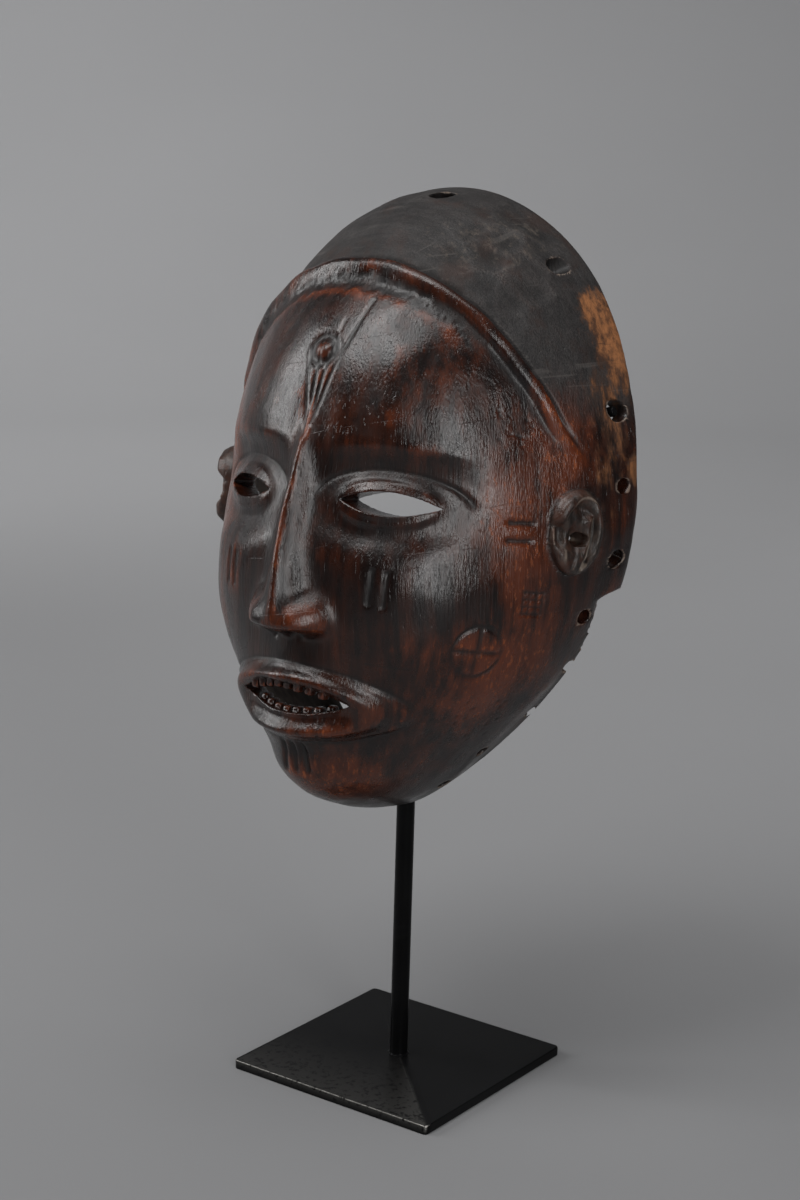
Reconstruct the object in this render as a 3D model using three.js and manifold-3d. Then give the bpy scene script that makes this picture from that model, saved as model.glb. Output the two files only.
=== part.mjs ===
// Carved wooden face mask on a square steel foot with a round post and a bent fork.
// Millimetres, +Z up, the mask faces -Y. The origin is the centre of the foot's underside.
import * as THREE from 'three';
import { ParametricGeometry } from 'three/addons/geometries/ParametricGeometry.js';
import { mergeVertices } from 'three/addons/utils/BufferGeometryUtils.js';
import Module from 'manifold-3d';

const wasm = await Module();
wasm.setup();

// Foot and post
const FOOT_SIDE = 100;
const FOOT_THICKNESS = 4;
const FOOT_CORNER = 2;
const FOOT_BEVEL = 0.5;
const POST_DIAMETER = 7.6;
const POST_TOP = 133;
const POST_SIDES = 24;
const TOUCH_GAP = 0.3;

// Bent rod that carries the mask by two holes in its rim
const FORK_DIAMETER = 4;
const FORK_SIDES = 8;
const FORK_STEPS = 32;
const FORK_HOLE = 1;
const FORK_PIN = { inset: 4, straight: 13, elbow: 21, behind: 0.5, dip: 1.5 };
const FORK_ARM = { spread: 61, leanOut: 1.5, behind: 1.5, bend: 12 };
const FORK_SHOULDER = { up: -63, bend: 14, turnIn: 9, forward: 8, endForward: 6 };
const FORK_MIDDLE = { half: 14, rise: 5, follow: 0.9 };

// Place of the rim's widest point on the stand, and how the mask sits there
const SEAT = { back: 14.4, height: 248.2 };
const LEAN = THREE.MathUtils.degToRad(9);
const ROLL = THREE.MathUtils.degToRad(1.4);

// Rim outline: an egg, measured from its widest point
const HALF_WIDTH = 93.5;
const CROWN = 122;
const CHIN = 130;
const CHIN_TAPER = 0.51;
const DEPTH = 92;
const FRONT_DROP = 22;
const WALL = 7;
const FULLNESS = { front: 2, side: 1.45, crown: 0.6, chin: 1.7, reached: 0.75 };

// How far the rim reaches behind its plane: a little all round, most just below the ears
const RIM_BACK = { sides: 2.5, low: 3.8, lowAt: -0.27, lowReach: 0.16, fade: 0.27 };

// Face by thirds: hairline to brow, brow to base of nose, base of nose to chin
const HAIRLINE = 86;
const THIRD = (HAIRLINE + CHIN) / 3;
const BROW = HAIRLINE - THIRD;
const NOSE_BASE = BROW - THIRD;
const MOUTH_LINE = NOSE_BASE - THIRD / 3;
const EYE_LINE = (CROWN - CHIN) / 2;
const EYE_WIDTH = (2 * HALF_WIDTH * 0.9) / 5;
const EYE_SLIT = 9;
const MOUTH_WIDTH = EYE_WIDTH * 1.5;
const MOUTH_OPEN = 12;

// Rounded forms of the face: rise over the bowl, middle, reach across and up, and how flat
// the top is. Those beside the middle line are the same on both sides
const SOCKET = { rise: -7.5, across: EYE_WIDTH, up: EYE_LINE + 2, wide: 25, high: 18, flat: 1.6 };
const MUZZLE = { rise: 5, across: 0, up: MOUTH_LINE, wide: 33, high: 22 };
const CHEEK = { rise: 4.5, across: 48, up: NOSE_BASE + 4, wide: 26, high: 30 };
const FOREHEAD = { rise: 3, across: 0, up: 48, wide: 46, high: 30 };
const CHIN_BOSS = { rise: 5, across: 0, up: 21 - CHIN, wide: 32, high: 15 };
const LID = { rise: 6.6, across: EYE_WIDTH, up: EYE_LINE, wide: EYE_WIDTH * 0.56, high: 9.5, flat: 1.4 };
const UNDER_LIP = { rise: -2, across: 0, up: MOUTH_LINE - 20, wide: 24, high: 5 };
const WING = { rise: 6.5, across: EYE_WIDTH / 3, up: NOSE_BASE + 9, wide: 6.5, high: 7.5, flat: 1.3 };
const LIPS = { rise: 4, wide: MOUTH_WIDTH * 0.53, high: MOUTH_OPEN * 0.84, full: 0.25 };
const NOSE = { top: BROW + 8, rootRise: 2.5, tipRise: 11.5, rootHalf: 4.5, tipHalf: 5.5, round: 2.2 };
const NOSE_FADE = { base: 7, top: 22 };
const CROWN_STEP = 1.6;
const RIM_FADE = 12;
const NOSE_INSIDE = 0.35;

// Hairline roll: it lies where the head is cut by a plane that slopes forward to the top
const BAND_SLOPE = 0.54;
const BAND_OFFSET = 18;
const BAND_WIDTH = 6;
const BAND_ENDS_AT = 24;
const BAND_STEPS = 30;

// Ears
const EAR = { up: -8.5, forward: 24.8, width: 23, height: 33, turn: THREE.MathUtils.degToRad(27) };
const EAR_RELIEF = { root: 9, left: 3.4, right: 6.6, bevel: 1.5 };
const EAR_DRILL = { diameter: 6, drop: 2.6, turn: THREE.MathUtils.degToRad(5) };
const EAR_BOWL = { wide: 6.5, high: 10, deep: 2.5, round: 4 };
const EAR_NOTCH = { wide: 11, high: 6, deep: 3, drop: 2.6 };

// Teeth: two rows on the inner edge of the lips
const TOOTH = { perRow: 8, width: 3.3, depth: 5, height: 6, shown: 2.4, back: 4.6, behind: 3 };
const TOOTH_SPREAD = 0.72;

// Holes along the rim, given for the left side by the angle round the rim and the setback
// from its edge, and repeated on the right side. A slant leans the outer end forward, and a
// flare widens the hole outward, by that much of its radius for each millimetre
const LACE_HOLES = [
  { angle: 51, setback: 14.5, diameter: 13, slant: -19, flare: 0.49 },
  { angle: 19, setback: 7.5, diameter: 8.5 },
  { angle: 5, setback: 6.5, diameter: 6 },
  { angle: -8, setback: 4.5, diameter: 7.5, slant: 12 },
  { angle: -19, setback: 10, diameter: 6.5 },
  { angle: -51, setback: 9, diameter: 5.5 },
  { angle: -63, setback: 12, diameter: 5.5 },
];
const TOP_HOLE = { angle: 88, setback: 26, diameter: 10, slant: 45 };
const BROKEN_HOLES = [
  { angle: -29, setback: 1, diameter: 6 },
  { angle: -40, setback: 0.5, diameter: 5 },
];
const DRILL_REACH = 24;
const DRILL_FACETS = 8;

// Lower left edge of the rim, broken back in a step and worn: it falls from the rim's back
// by the drop over a short height, then comes back by the rise
const WORN_EDGE = { from: -11.3, to: -62, start: 7, drop: 11.6, fall: 9, rise: 5.9, riseOver: 25 };
const WORN_BEND = 1.6;
const WORN_STEPS = 20;

// Mesh density of the two skins
const OUTER_COLUMNS = 38;
const OUTER_ROWS = 48;
const HOLLOW_COLUMNS = 18;
const HOLLOW_ROWS = 24;

const TAU = Math.PI * 2;
const { degToRad, smoothstep } = THREE.MathUtils;

// Height of a rounded form at a place of the face
function hump({ rise, across, up, wide, high, flat = 1 }, x, z) {
  const a = ((across > 0 ? Math.abs(x) : x) - across) / wide;
  const b = (z - up) / high;
  return rise * Math.exp(-Math.pow(a * a + b * b, flat));
}

// Point of the rim outline at an angle from the left side, seen from the front
function rimPoint(angle, inset = 0) {
  const s = Math.sin(angle);
  const c = Math.cos(angle);
  const low = Math.min(0, s);
  return {
    across: (HALF_WIDTH - inset) * c * (1 - CHIN_TAPER * low * low),
    up: (s >= 0 ? CROWN - inset : CHIN - inset) * s,
  };
}

function rimBack(s) {
  const sides = smoothstep(s, -1, -0.7) * (1 - smoothstep(s, 0.8, 1));
  const low = Math.exp(-Math.pow((s - RIM_BACK.lowAt) / RIM_BACK.lowReach, 2));
  return RIM_BACK.sides * sides + RIM_BACK.low * low;
}

// Plain bowl of the head before carving. The disc position runs from its centre, the front
// of the face, to its edge, the rim
function bowlPoint(discX, discY, inset, target) {
  const radius = Math.min(1, Math.hypot(discX, discY));
  const angle = Math.atan2(discY, discX);
  const s = Math.sin(angle);
  const edge = FULLNESS.side + (s < 0 ? FULLNESS.chin : FULLNESS.crown) * s * s;
  const fullness = FULLNESS.front + (edge - FULLNESS.front) * smoothstep(radius, 0, FULLNESS.reached);
  const turn = (radius * Math.PI) / 2;
  const out = Math.pow(Math.sin(turn), 2 / fullness);
  const front = Math.pow(Math.max(0, Math.cos(turn)), 2 / fullness);
  const rim = rimPoint(angle, inset);
  const back = rimBack(s) * (1 - smoothstep(front, 0, RIM_BACK.fade));
  const up = -FRONT_DROP * (1 - out) + rim.up * out;
  return target.set(rim.across * out, back - (DEPTH - inset * 1.1) * front, up);
}

// Broad forms of the face that both skins follow
function broadRelief(across, up) {
  const forms = [SOCKET, MUZZLE, CHEEK, FOREHEAD, CHIN_BOSS];
  return forms.reduce((sum, form) => sum + hump(form, across, up), 0);
}

// Nose: a slender wedge that widens and rises down to its rounded tip
function noseRelief(across, up) {
  const down = THREE.MathUtils.clamp((NOSE.top - up) / (NOSE.top - NOSE_BASE), 0, 1);
  const height = NOSE.rootRise + NOSE.tipRise * Math.pow(down, 1.15);
  const halfWidth = NOSE.rootHalf + NOSE.tipHalf * down * down;
  const ridge = Math.exp(-Math.pow(Math.abs(across) / halfWidth, NOSE.round));
  const underside = smoothstep(up, NOSE_BASE - 1, NOSE_BASE + NOSE_FADE.base);
  const top = 1 - smoothstep(up, BROW - 4, BROW - 4 + NOSE_FADE.top);
  return (height * ridge + hump(WING, across, up)) * underside * top;
}

// Lids and lips
function fineRelief(across, up) {
  const ring = Math.hypot(across / LIPS.wide, (up - MOUTH_LINE) / LIPS.high);
  const lips = LIPS.rise * Math.exp(-Math.pow((ring - 1) / LIPS.full, 2));
  return lips + hump(LID, across, up) + hump(UNDER_LIP, across, up);
}

// The crown behind the hairline lies a little lower than the face
function crownRelief(point) {
  const behind = BAND_OFFSET + BAND_SLOPE * point.z + point.y;
  return -CROWN_STEP * smoothstep(behind, 1, 5) * smoothstep(point.z, 10, 40);
}

const probeA = new THREE.Vector3();
const probeB = new THREE.Vector3();
const probeC = new THREE.Vector3();
const probeD = new THREE.Vector3();

// Outward normal of the plain bowl by small steps over the disc
function bowlNormal(discX, discY, inset, target) {
  const step = 0.01;
  const shrink = 0.985;
  const x = discX * shrink;
  const y = discY * shrink;
  bowlPoint(x + step, y, inset, probeA);
  bowlPoint(x - step, y, inset, probeB);
  bowlPoint(x, y + step, inset, probeC);
  bowlPoint(x, y - step, inset, probeD);
  probeA.sub(probeB);
  probeC.sub(probeD);
  return target.crossVectors(probeA, probeC).normalize();
}

// Square grid position to disc position, with finer cells near the middle of the face
function discPosition(u, v) {
  const spread = (value) => {
    const centred = value * 2 - 1;
    return centred * (0.55 + 0.45 * centred * centred);
  };
  const s = spread(u);
  const t = spread(v);
  return { x: s * Math.sqrt(1 - (t * t) / 2), y: t * Math.sqrt(1 - (s * s) / 2) };
}

const normal = new THREE.Vector3();

function facePoint(discX, discY, target) {
  bowlPoint(discX, discY, 0, target);
  bowlNormal(discX, discY, 0, normal);
  const { x, z } = target;
  const lift = broadRelief(x, z) + noseRelief(x, z) + fineRelief(x, z) + crownRelief(target);
  return target.addScaledVector(normal, lift * smoothstep(-target.y, 0, RIM_FADE));
}

function hollowPoint(discX, discY, target) {
  const overshoot = 2;
  bowlPoint(discX, discY, WALL, target);
  bowlNormal(discX, discY, WALL, normal);
  const lift = broadRelief(target.x, target.z) + NOSE_INSIDE * noseRelief(target.x, target.z);
  target.addScaledVector(normal, lift * smoothstep(-target.y, 0, RIM_FADE));
  target.y += overshoot * smoothstep(Math.hypot(discX, discY), 0.93, 1);
  return target;
}

// Closed solid from any geometry whose surface closes on itself
function solidOf(geometry) {
  const plain = geometry.index ? geometry.clone() : geometry;
  plain.deleteAttribute('normal');
  plain.deleteAttribute('uv');
  const merged = mergeVertices(plain, 1e-4);
  return new wasm.Manifold(new wasm.Mesh({
    numProp: 3,
    vertProperties: new Float32Array(merged.attributes.position.array),
    triVerts: new Uint32Array(merged.index.array),
  }));
}

function geometryOf(solid) {
  const mesh = solid.getMesh();
  const geometry = new THREE.BufferGeometry();
  geometry.setAttribute('position', new THREE.BufferAttribute(mesh.vertProperties, 3));
  geometry.setIndex(new THREE.BufferAttribute(mesh.triVerts, 1));
  geometry.computeVertexNormals();
  return geometry;
}

// Skin over the disc closed by a fan of faces across the rim
function closedSkin(pointAt, columns, rows) {
  const onGrid = (u, v, target) => {
    const disc = discPosition(u, v);
    pointAt(disc.x, disc.y, target);
  };
  const skin = new ParametricGeometry(onGrid, columns, rows);
  const places = Array.from(skin.attributes.position.array);
  const faces = Array.from(skin.index.array);
  const centre = places.length / 3;
  places.push(0, places[1], 0);
  const rowLength = columns + 1;
  const border = [];
  for (let i = 0; i < columns; i += 1) border.push(i);
  for (let j = 0; j < rows; j += 1) border.push(j * rowLength + columns);
  for (let i = columns; i > 0; i -= 1) border.push(rows * rowLength + i);
  for (let j = rows; j > 0; j -= 1) border.push(j * rowLength);
  border.forEach((corner, k) => {
    faces.push(border[(k + 1) % border.length], corner, centre);
  });
  orientOutward(places, faces);
  const closed = new THREE.BufferGeometry();
  closed.setAttribute('position', new THREE.Float32BufferAttribute(places, 3));
  closed.setIndex(faces);
  return solidOf(closed);
}

// Turns every face over when the signed volume is negative
function orientOutward(places, faces) {
  let volume = 0;
  const corner = [new THREE.Vector3(), new THREE.Vector3(), new THREE.Vector3()];
  for (let i = 0; i < faces.length; i += 3) {
    corner.forEach((point, k) => point.fromArray(places, faces[i + k] * 3));
    volume += corner[0].dot(corner[1].clone().cross(corner[2]));
  }
  if (volume > 0) return;
  for (let i = 0; i < faces.length; i += 3) {
    [faces[i], faces[i + 1]] = [faces[i + 1], faces[i]];
  }
}

// Pointed oval, used for the eye slits and the mouth
function almond(width, height) {
  const shape = new THREE.Shape();
  const half = width / 2;
  shape.moveTo(-half, 0);
  shape.quadraticCurveTo(0, height, half, 0);
  shape.quadraticCurveTo(0, -height, -half, 0);
  return shape;
}

// Prism of an outline that runs through the face from front to back
function throughFace(shape, across, up, curveSegments = 8) {
  const geometry = new THREE.ExtrudeGeometry(shape, {
    depth: DEPTH,
    bevelEnabled: false,
    curveSegments,
  });
  geometry.rotateX(Math.PI / 2);
  geometry.translate(across, -20, up);
  return solidOf(geometry);
}

// Centre line of a hole in the rim: where it starts and which way it leads out, square to
// the outline there
function holeLine({ angle, setback, slant = 0 }) {
  const turn = degToRad(angle);
  const lean = degToRad(slant);
  const step = 0.01;
  const here = rimPoint(turn);
  const ahead = rimPoint(turn + step);
  const outward = new THREE.Vector3(ahead.up - here.up, 0, here.across - ahead.across).normalize();
  outward.multiplyScalar(Math.cos(lean)).setY(-Math.sin(lean));
  return { start: new THREE.Vector3(here.across, -setback, here.up), outward };
}

// Drill for a round hole through a place of the left side, or of the right for side -1. A
// flared one ends short of the point where it would close
function drillThrough(place, way, { diameter, flare = 0 }, side) {
  const reach = flare > 0 ? DRILL_REACH / 2 : DRILL_REACH;
  const outer = diameter / 2 + flare * reach;
  const inner = diameter / 2 - flare * reach;
  const drill = new THREE.CylinderGeometry(outer, inner, 2 * reach, DRILL_FACETS);
  drill.applyQuaternion(new THREE.Quaternion().setFromUnitVectors(new THREE.Vector3(0, 1, 0), way));
  drill.translate(place.x, place.y, place.z);
  return solidOf(side > 0 ? drill : mirrored(drill));
}

function rimDrill(hole, side = 1) {
  const { start, outward } = holeLine(hole);
  return drillThrough(start, outward, hole, side);
}

function bothSides(make) {
  return [1, -1].map(make);
}

// How far out the side wall stands at the height of the ears
function wallAt(forward) {
  const point = new THREE.Vector3();
  const angle = Math.atan2(EAR.up, HALF_WIDTH);
  const step = 0.005;
  let radius = 1;
  do {
    radius -= step;
    bowlPoint(radius * Math.cos(angle), radius * Math.sin(angle), 0, point);
  } while (-point.y < forward);
  return point.x;
}

// The same form on the other side of the middle plane
function mirrored(geometry) {
  const order = Array.from(geometry.index.array).reverse();
  const other = geometry.clone().scale(-1, 1, 1);
  other.setIndex(order);
  return other;
}

// Oval slab rooted in the wall and turned towards the face, with a bowl and a notch in front
function earSolid(side) {
  const thickness = EAR_RELIEF.root + (side > 0 ? EAR_RELIEF.left : EAR_RELIEF.right);
  const outline = new THREE.Shape();
  outline.absellipse(0, 0, EAR.width / 2, EAR.height / 2, 0, TAU);
  const slab = new THREE.ExtrudeGeometry(outline, {
    depth: thickness - 2 * EAR_RELIEF.bevel,
    bevelThickness: EAR_RELIEF.bevel,
    bevelSize: EAR_RELIEF.bevel,
    bevelOffset: -EAR_RELIEF.bevel,
    bevelSegments: 1,
    curveSegments: 7,
  });
  slab.translate(0, 0, EAR_RELIEF.bevel);
  const bowl = new THREE.SphereGeometry(1, 10, 6);
  bowl.scale(EAR_BOWL.wide, EAR_BOWL.high, EAR_BOWL.round);
  bowl.translate(0, 0, thickness + EAR_BOWL.round - EAR_BOWL.deep);
  const notch = new THREE.BoxGeometry(EAR_NOTCH.wide, EAR_NOTCH.high, 2 * EAR_NOTCH.deep);
  notch.translate(-EAR.width / 2, -EAR_NOTCH.drop, thickness);
  const carved = geometryOf(solidOf(slab).subtract(solidOf(bowl)).subtract(solidOf(notch)));
  const outward = new THREE.Vector3(Math.cos(EAR.turn), -Math.sin(EAR.turn), 0);
  const backward = new THREE.Vector3(Math.sin(EAR.turn), Math.cos(EAR.turn), 0);
  const reach = (EAR.width / 2) * Math.cos(EAR.turn);
  const across = (wallAt(EAR.forward + reach) + wallAt(EAR.forward - reach)) / 2;
  const foot = new THREE.Vector3(across, -EAR.forward, EAR.up);
  foot.addScaledVector(outward, -EAR_RELIEF.root);
  const place = new THREE.Matrix4().makeBasis(backward, new THREE.Vector3(0, 0, 1), outward);
  carved.applyMatrix4(place.setPosition(foot));
  return solidOf(side > 0 ? carved : mirrored(carved));
}

function earDrill(side) {
  const place = new THREE.Vector3(wallAt(EAR.forward), -EAR.forward, EAR.up - EAR_DRILL.drop);
  const way = new THREE.Vector3(Math.cos(EAR_DRILL.turn), -Math.sin(EAR_DRILL.turn), 0);
  return drillThrough(place, way, EAR_DRILL, side);
}

// Point of the carved face at a place seen from the front
function surfaceAt(across, up) {
  const point = new THREE.Vector3();
  let discX = (across / HALF_WIDTH) * 0.6;
  let discY = (up / CHIN) * 0.6;
  for (let i = 0; i < 60; i += 1) {
    facePoint(discX, discY, point);
    discX += (0.3 * (across - point.x)) / HALF_WIDTH;
    discY += (0.3 * (up - point.z)) / CHIN;
  }
  return point;
}

// Point on the carved surface where the hairline plane cuts it, by angle over the head
function hairlinePoint(angle) {
  let near = 0.1;
  let far = 0.98;
  const point = new THREE.Vector3();
  for (let i = 0; i < 24; i += 1) {
    const middle = (near + far) / 2;
    facePoint(middle * Math.cos(angle), middle * Math.sin(angle), point);
    const ahead = -point.y - BAND_SLOPE * point.z - BAND_OFFSET;
    if (ahead > 0) near = middle;
    else far = middle;
  }
  return point;
}

function hairlineRoll() {
  const points = [];
  for (let i = 0; i <= BAND_STEPS; i += 1) {
    const point = hairlinePoint((Math.PI * i) / BAND_STEPS);
    if (point.z > BAND_ENDS_AT) points.push(point);
  }
  const path = new THREE.CatmullRomCurve3(points);
  const section = new THREE.Shape();
  section.absarc(0, 0, BAND_WIDTH / 2, 0, TAU);
  return solidOf(new THREE.ExtrudeGeometry(section, {
    steps: BAND_STEPS,
    extrudePath: path,
    curveSegments: 3,
    bevelEnabled: false,
  }));
}

// Peg teeth stand on the edge of each lip and leave the middle of the mouth open
function teeth() {
  const pitch = (MOUTH_WIDTH * TOOTH_SPREAD) / TOOTH.perRow;
  const pegs = [];
  for (const row of [1, -1]) {
    for (let i = 0; i < TOOTH.perRow; i += 1) {
      const across = (i - (TOOTH.perRow - 1) / 2) * pitch;
      const edge = (MOUTH_OPEN / 2) * (1 - Math.pow(across / (MOUTH_WIDTH / 2), 2));
      const lip = surfaceAt(across, MOUTH_LINE + row * (edge + TOOTH.behind));
      const peg = new THREE.BoxGeometry(TOOTH.width, TOOTH.depth, TOOTH.height);
      const up = MOUTH_LINE + row * (edge + TOOTH.height / 2 - TOOTH.shown);
      pegs.push(solidOf(peg.translate(across, lip.y + TOOTH.back, up)));
    }
  }
  return pegs;
}

// How far behind the rim's plane the worn edge lies at a depth below the start of the step
function wornLine(below) {
  const fall = smoothstep(Math.pow(below / WORN_EDGE.fall, WORN_BEND), 0, 1);
  const rise = smoothstep(below, WORN_EDGE.fall, WORN_EDGE.fall + WORN_EDGE.riseOver);
  return WORN_EDGE.start - WORN_EDGE.drop * fall + WORN_EDGE.rise * rise;
}

// Everything behind the worn edge, over the left side of the rim
function wornEdge() {
  const start = rimPoint(degToRad(WORN_EDGE.from));
  const end = rimPoint(degToRad(WORN_EDGE.to));
  const behind = 20;
  const outline = new THREE.Shape();
  outline.moveTo(behind, end.up);
  outline.lineTo(behind, start.up);
  for (let i = 0; i <= WORN_STEPS; i += 1) {
    const below = (start.up - end.up) * Math.pow(i / WORN_STEPS, WORN_BEND);
    outline.lineTo(wornLine(below), start.up - below);
  }
  const strip = new THREE.ExtrudeGeometry(outline, { depth: HALF_WIDTH, bevelEnabled: false });
  const alongX = new THREE.Matrix4().makeBasis(
    new THREE.Vector3(0, 1, 0),
    new THREE.Vector3(0, 0, 1),
    new THREE.Vector3(1, 0, 0),
  );
  return solidOf(strip.applyMatrix4(alongX).translate(end.across - WALL * 2, 0, 0));
}

function carvedMask() {
  const hollow = closedSkin(hollowPoint, HOLLOW_COLUMNS, HOLLOW_ROWS);
  let body = closedSkin(facePoint, OUTER_COLUMNS, OUTER_ROWS);
  const added = [hairlineRoll(), ...bothSides(earSolid)];
  added.forEach((piece) => { body = body.add(piece); });
  body = body.subtract(hollow);
  const openings = [
    ...bothSides((side) => throughFace(almond(EYE_WIDTH, EYE_SLIT), side * EYE_WIDTH, EYE_LINE)),
    throughFace(almond(MOUTH_WIDTH, MOUTH_OPEN), 0, MOUTH_LINE),
    rimDrill(TOP_HOLE),
    ...LACE_HOLES.flatMap((hole) => bothSides((side) => rimDrill(hole, side))),
    ...BROKEN_HOLES.map((hole) => rimDrill(hole)),
    ...bothSides(earDrill),
    wornEdge(),
  ];
  openings.forEach((piece) => { body = body.subtract(piece); });
  teeth().forEach((peg) => { body = body.add(peg); });
  return geometryOf(body);
}

function footPlate() {
  const half = FOOT_SIDE / 2 - FOOT_BEVEL;
  const round = FOOT_CORNER;
  const outline = new THREE.Shape();
  outline.moveTo(-half + round, -half);
  outline.lineTo(half - round, -half);
  outline.absarc(half - round, -half + round, round, -Math.PI / 2, 0);
  outline.lineTo(half, half - round);
  outline.absarc(half - round, half - round, round, 0, Math.PI / 2);
  outline.lineTo(-half + round, half);
  outline.absarc(-half + round, half - round, round, Math.PI / 2, Math.PI);
  outline.lineTo(-half, -half + round);
  outline.absarc(-half + round, -half + round, round, Math.PI, 1.5 * Math.PI);
  const plate = new THREE.ExtrudeGeometry(outline, {
    depth: FOOT_THICKNESS - 2 * FOOT_BEVEL,
    bevelThickness: FOOT_BEVEL,
    bevelSize: FOOT_BEVEL,
    bevelSegments: 1,
    curveSegments: 3,
  });
  plate.translate(0, 0, FOOT_BEVEL);
  return plate;
}

function roundPost() {
  const foot = FOOT_THICKNESS + TOUCH_GAP;
  const length = POST_TOP - foot;
  const post = new THREE.CylinderGeometry(POST_DIAMETER / 2, POST_DIAMETER / 2, length, POST_SIDES);
  post.rotateX(Math.PI / 2);
  post.translate(0, 0, foot + length / 2);
  return post;
}

// One bent rod, in the mask's own frame: pin, upright, shoulder, middle, and back again
function bentFork(middle) {
  const { start, outward } = holeLine(LACE_HOLES[FORK_HOLE]);
  const along = (distance) => start.clone().addScaledVector(outward, -distance);
  const elbow = along(FORK_PIN.elbow);
  const arm = FORK_ARM.spread;
  const shoulder = FORK_SHOULDER;
  const half = [
    along(FORK_PIN.inset),
    along(FORK_PIN.straight),
    elbow.clone().add(new THREE.Vector3(0, FORK_PIN.behind, -FORK_PIN.dip)),
    new THREE.Vector3(arm + FORK_ARM.leanOut, elbow.y + FORK_ARM.behind, elbow.z - FORK_ARM.bend),
    new THREE.Vector3(arm, elbow.y + FORK_ARM.behind, EYE_LINE),
    new THREE.Vector3(arm, -shoulder.forward, shoulder.up + shoulder.bend),
    new THREE.Vector3(arm - shoulder.turnIn, -shoulder.endForward, shoulder.up),
    new THREE.Vector3(
      FORK_MIDDLE.half,
      middle.y * FORK_MIDDLE.follow,
      middle.z + FORK_MIDDLE.rise,
    ),
  ];
  const other = half.map((point) => new THREE.Vector3(-point.x, point.y, point.z)).reverse();
  const path = new THREE.CatmullRomCurve3([...half, middle, ...other], false, 'centripetal');
  const section = new THREE.Shape();
  section.absarc(0, 0, FORK_DIAMETER / 2, 0, TAU);
  return new THREE.ExtrudeGeometry(section, {
    steps: FORK_STEPS,
    extrudePath: path,
    curveSegments: FORK_SIDES / 2,
    bevelEnabled: false,
  });
}

function named(name, geometry, material) {
  const mesh = new THREE.Mesh(geometry, material);
  mesh.name = name;
  return mesh;
}

const darkWood = new THREE.MeshStandardMaterial({ color: 0x2a1510, roughness: 0.38, metalness: 0 });
const blackSteel = new THREE.MeshStandardMaterial({ color: 0x0c0c0d, roughness: 0.42, metalness: 0.4 });

const onStand = new THREE.Group();
onStand.position.set(0, SEAT.back, SEAT.height);
onStand.rotation.set(-LEAN, -ROLL, 0);
onStand.updateMatrixWorld(true);

// Where the bent rod rests on the post's end, taken into the mask's frame
const forkRest = new THREE.Vector3(0, 0, POST_TOP + FORK_DIAMETER / 2 + TOUCH_GAP);
onStand.worldToLocal(forkRest);

onStand.add(named('mask', carvedMask(), darkWood));
onStand.add(named('stand_fork', bentFork(forkRest), blackSteel.clone()));

const group = new THREE.Group();
group.add(named('stand_plate', footPlate(), blackSteel));
group.add(named('stand_post', roundPost(), blackSteel.clone()));
group.add(onStand);

export default group;
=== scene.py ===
"""Looks of a carved hardwood face mask on its steel stand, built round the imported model.

Lengths inside the carving classes are millimetres in the mask's own frame: x runs to the
mask's left, y runs back from the face, z runs up. Every finished mesh is in metres.
"""

from __future__ import annotations

import logging
import math
from collections.abc import Callable
from dataclasses import dataclass, field
from enum import Enum

import bmesh
import bpy
import numpy as np
from mathutils import Matrix, Vector
from mathutils.kdtree import KDTree

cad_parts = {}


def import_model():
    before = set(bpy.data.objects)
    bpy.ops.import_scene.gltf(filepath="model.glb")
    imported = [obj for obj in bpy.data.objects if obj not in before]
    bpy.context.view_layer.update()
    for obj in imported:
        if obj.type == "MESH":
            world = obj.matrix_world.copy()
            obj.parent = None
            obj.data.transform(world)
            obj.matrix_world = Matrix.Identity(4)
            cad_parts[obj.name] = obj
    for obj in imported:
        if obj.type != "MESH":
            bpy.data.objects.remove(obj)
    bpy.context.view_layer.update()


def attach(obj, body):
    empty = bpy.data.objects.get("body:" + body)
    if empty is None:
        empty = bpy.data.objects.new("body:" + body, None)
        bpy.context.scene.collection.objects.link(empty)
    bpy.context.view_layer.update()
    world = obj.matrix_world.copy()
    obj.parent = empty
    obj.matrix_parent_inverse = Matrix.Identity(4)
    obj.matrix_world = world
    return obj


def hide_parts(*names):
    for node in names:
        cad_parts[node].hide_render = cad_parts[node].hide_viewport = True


LOG = logging.getLogger("mask")
Faces = list[tuple[int, ...]]
Shape = tuple[np.ndarray, Faces]
Colour = tuple[float, float, float]

MM = 0.001
BODY = "root"
MASK_MIDDLE = (0.0, -0.02, 0.24)


class Slot(Enum):
    """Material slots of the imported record."""

    WOOD = "carved_wood"
    STEEL = "black_steel"


class Mark(Enum):
    """Names of the mask's painted-on shape values, kept at its vertices."""

    CROWN = "crown"
    BARE = "bare"
    # Hollows, which the finish darkens with grime and painted shade.
    RECESS = "recess"
    RAISED = "raised"
    SOOT = "soot"
    RUDDY = "ruddy"
    EAR = "ear"
    # Wear of edges, which also holds a painted highlight on the ears, the rim edges and the top of the
    # crown.
    WORN_AND_SHEEN = "worn"


def smoothstep(value: np.ndarray, low: float, high: float) -> np.ndarray:
    """Smooth ramp.

    Args:
        value: Values to ramp.
        low: Where the ramp leaves 0.
        high: Where the ramp reaches 1.

    Returns:
        Values from 0 to 1.
    """
    t = np.clip((value - low) / (high - low), 0.0, 1.0)
    return t * t * (3.0 - 2.0 * t)


def bump(
    across: np.ndarray,
    up: np.ndarray,
    centre: tuple[float, float],
    radii: tuple[float, float],
    power: float = 1.0,
) -> np.ndarray:
    """Round hump that falls off smoothly.

    Args:
        across: Positions across the face.
        up: Positions up the face.
        centre: Middle of the hump.
        radii: Its reach across and up.
        power: Above 1 the top is flatter and the side steeper.

    Returns:
        Height from 0 to 1.
    """
    a = (across - centre[0]) / radii[0]
    b = (up - centre[1]) / radii[1]
    return np.exp(-np.power(a * a + b * b, power))


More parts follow.
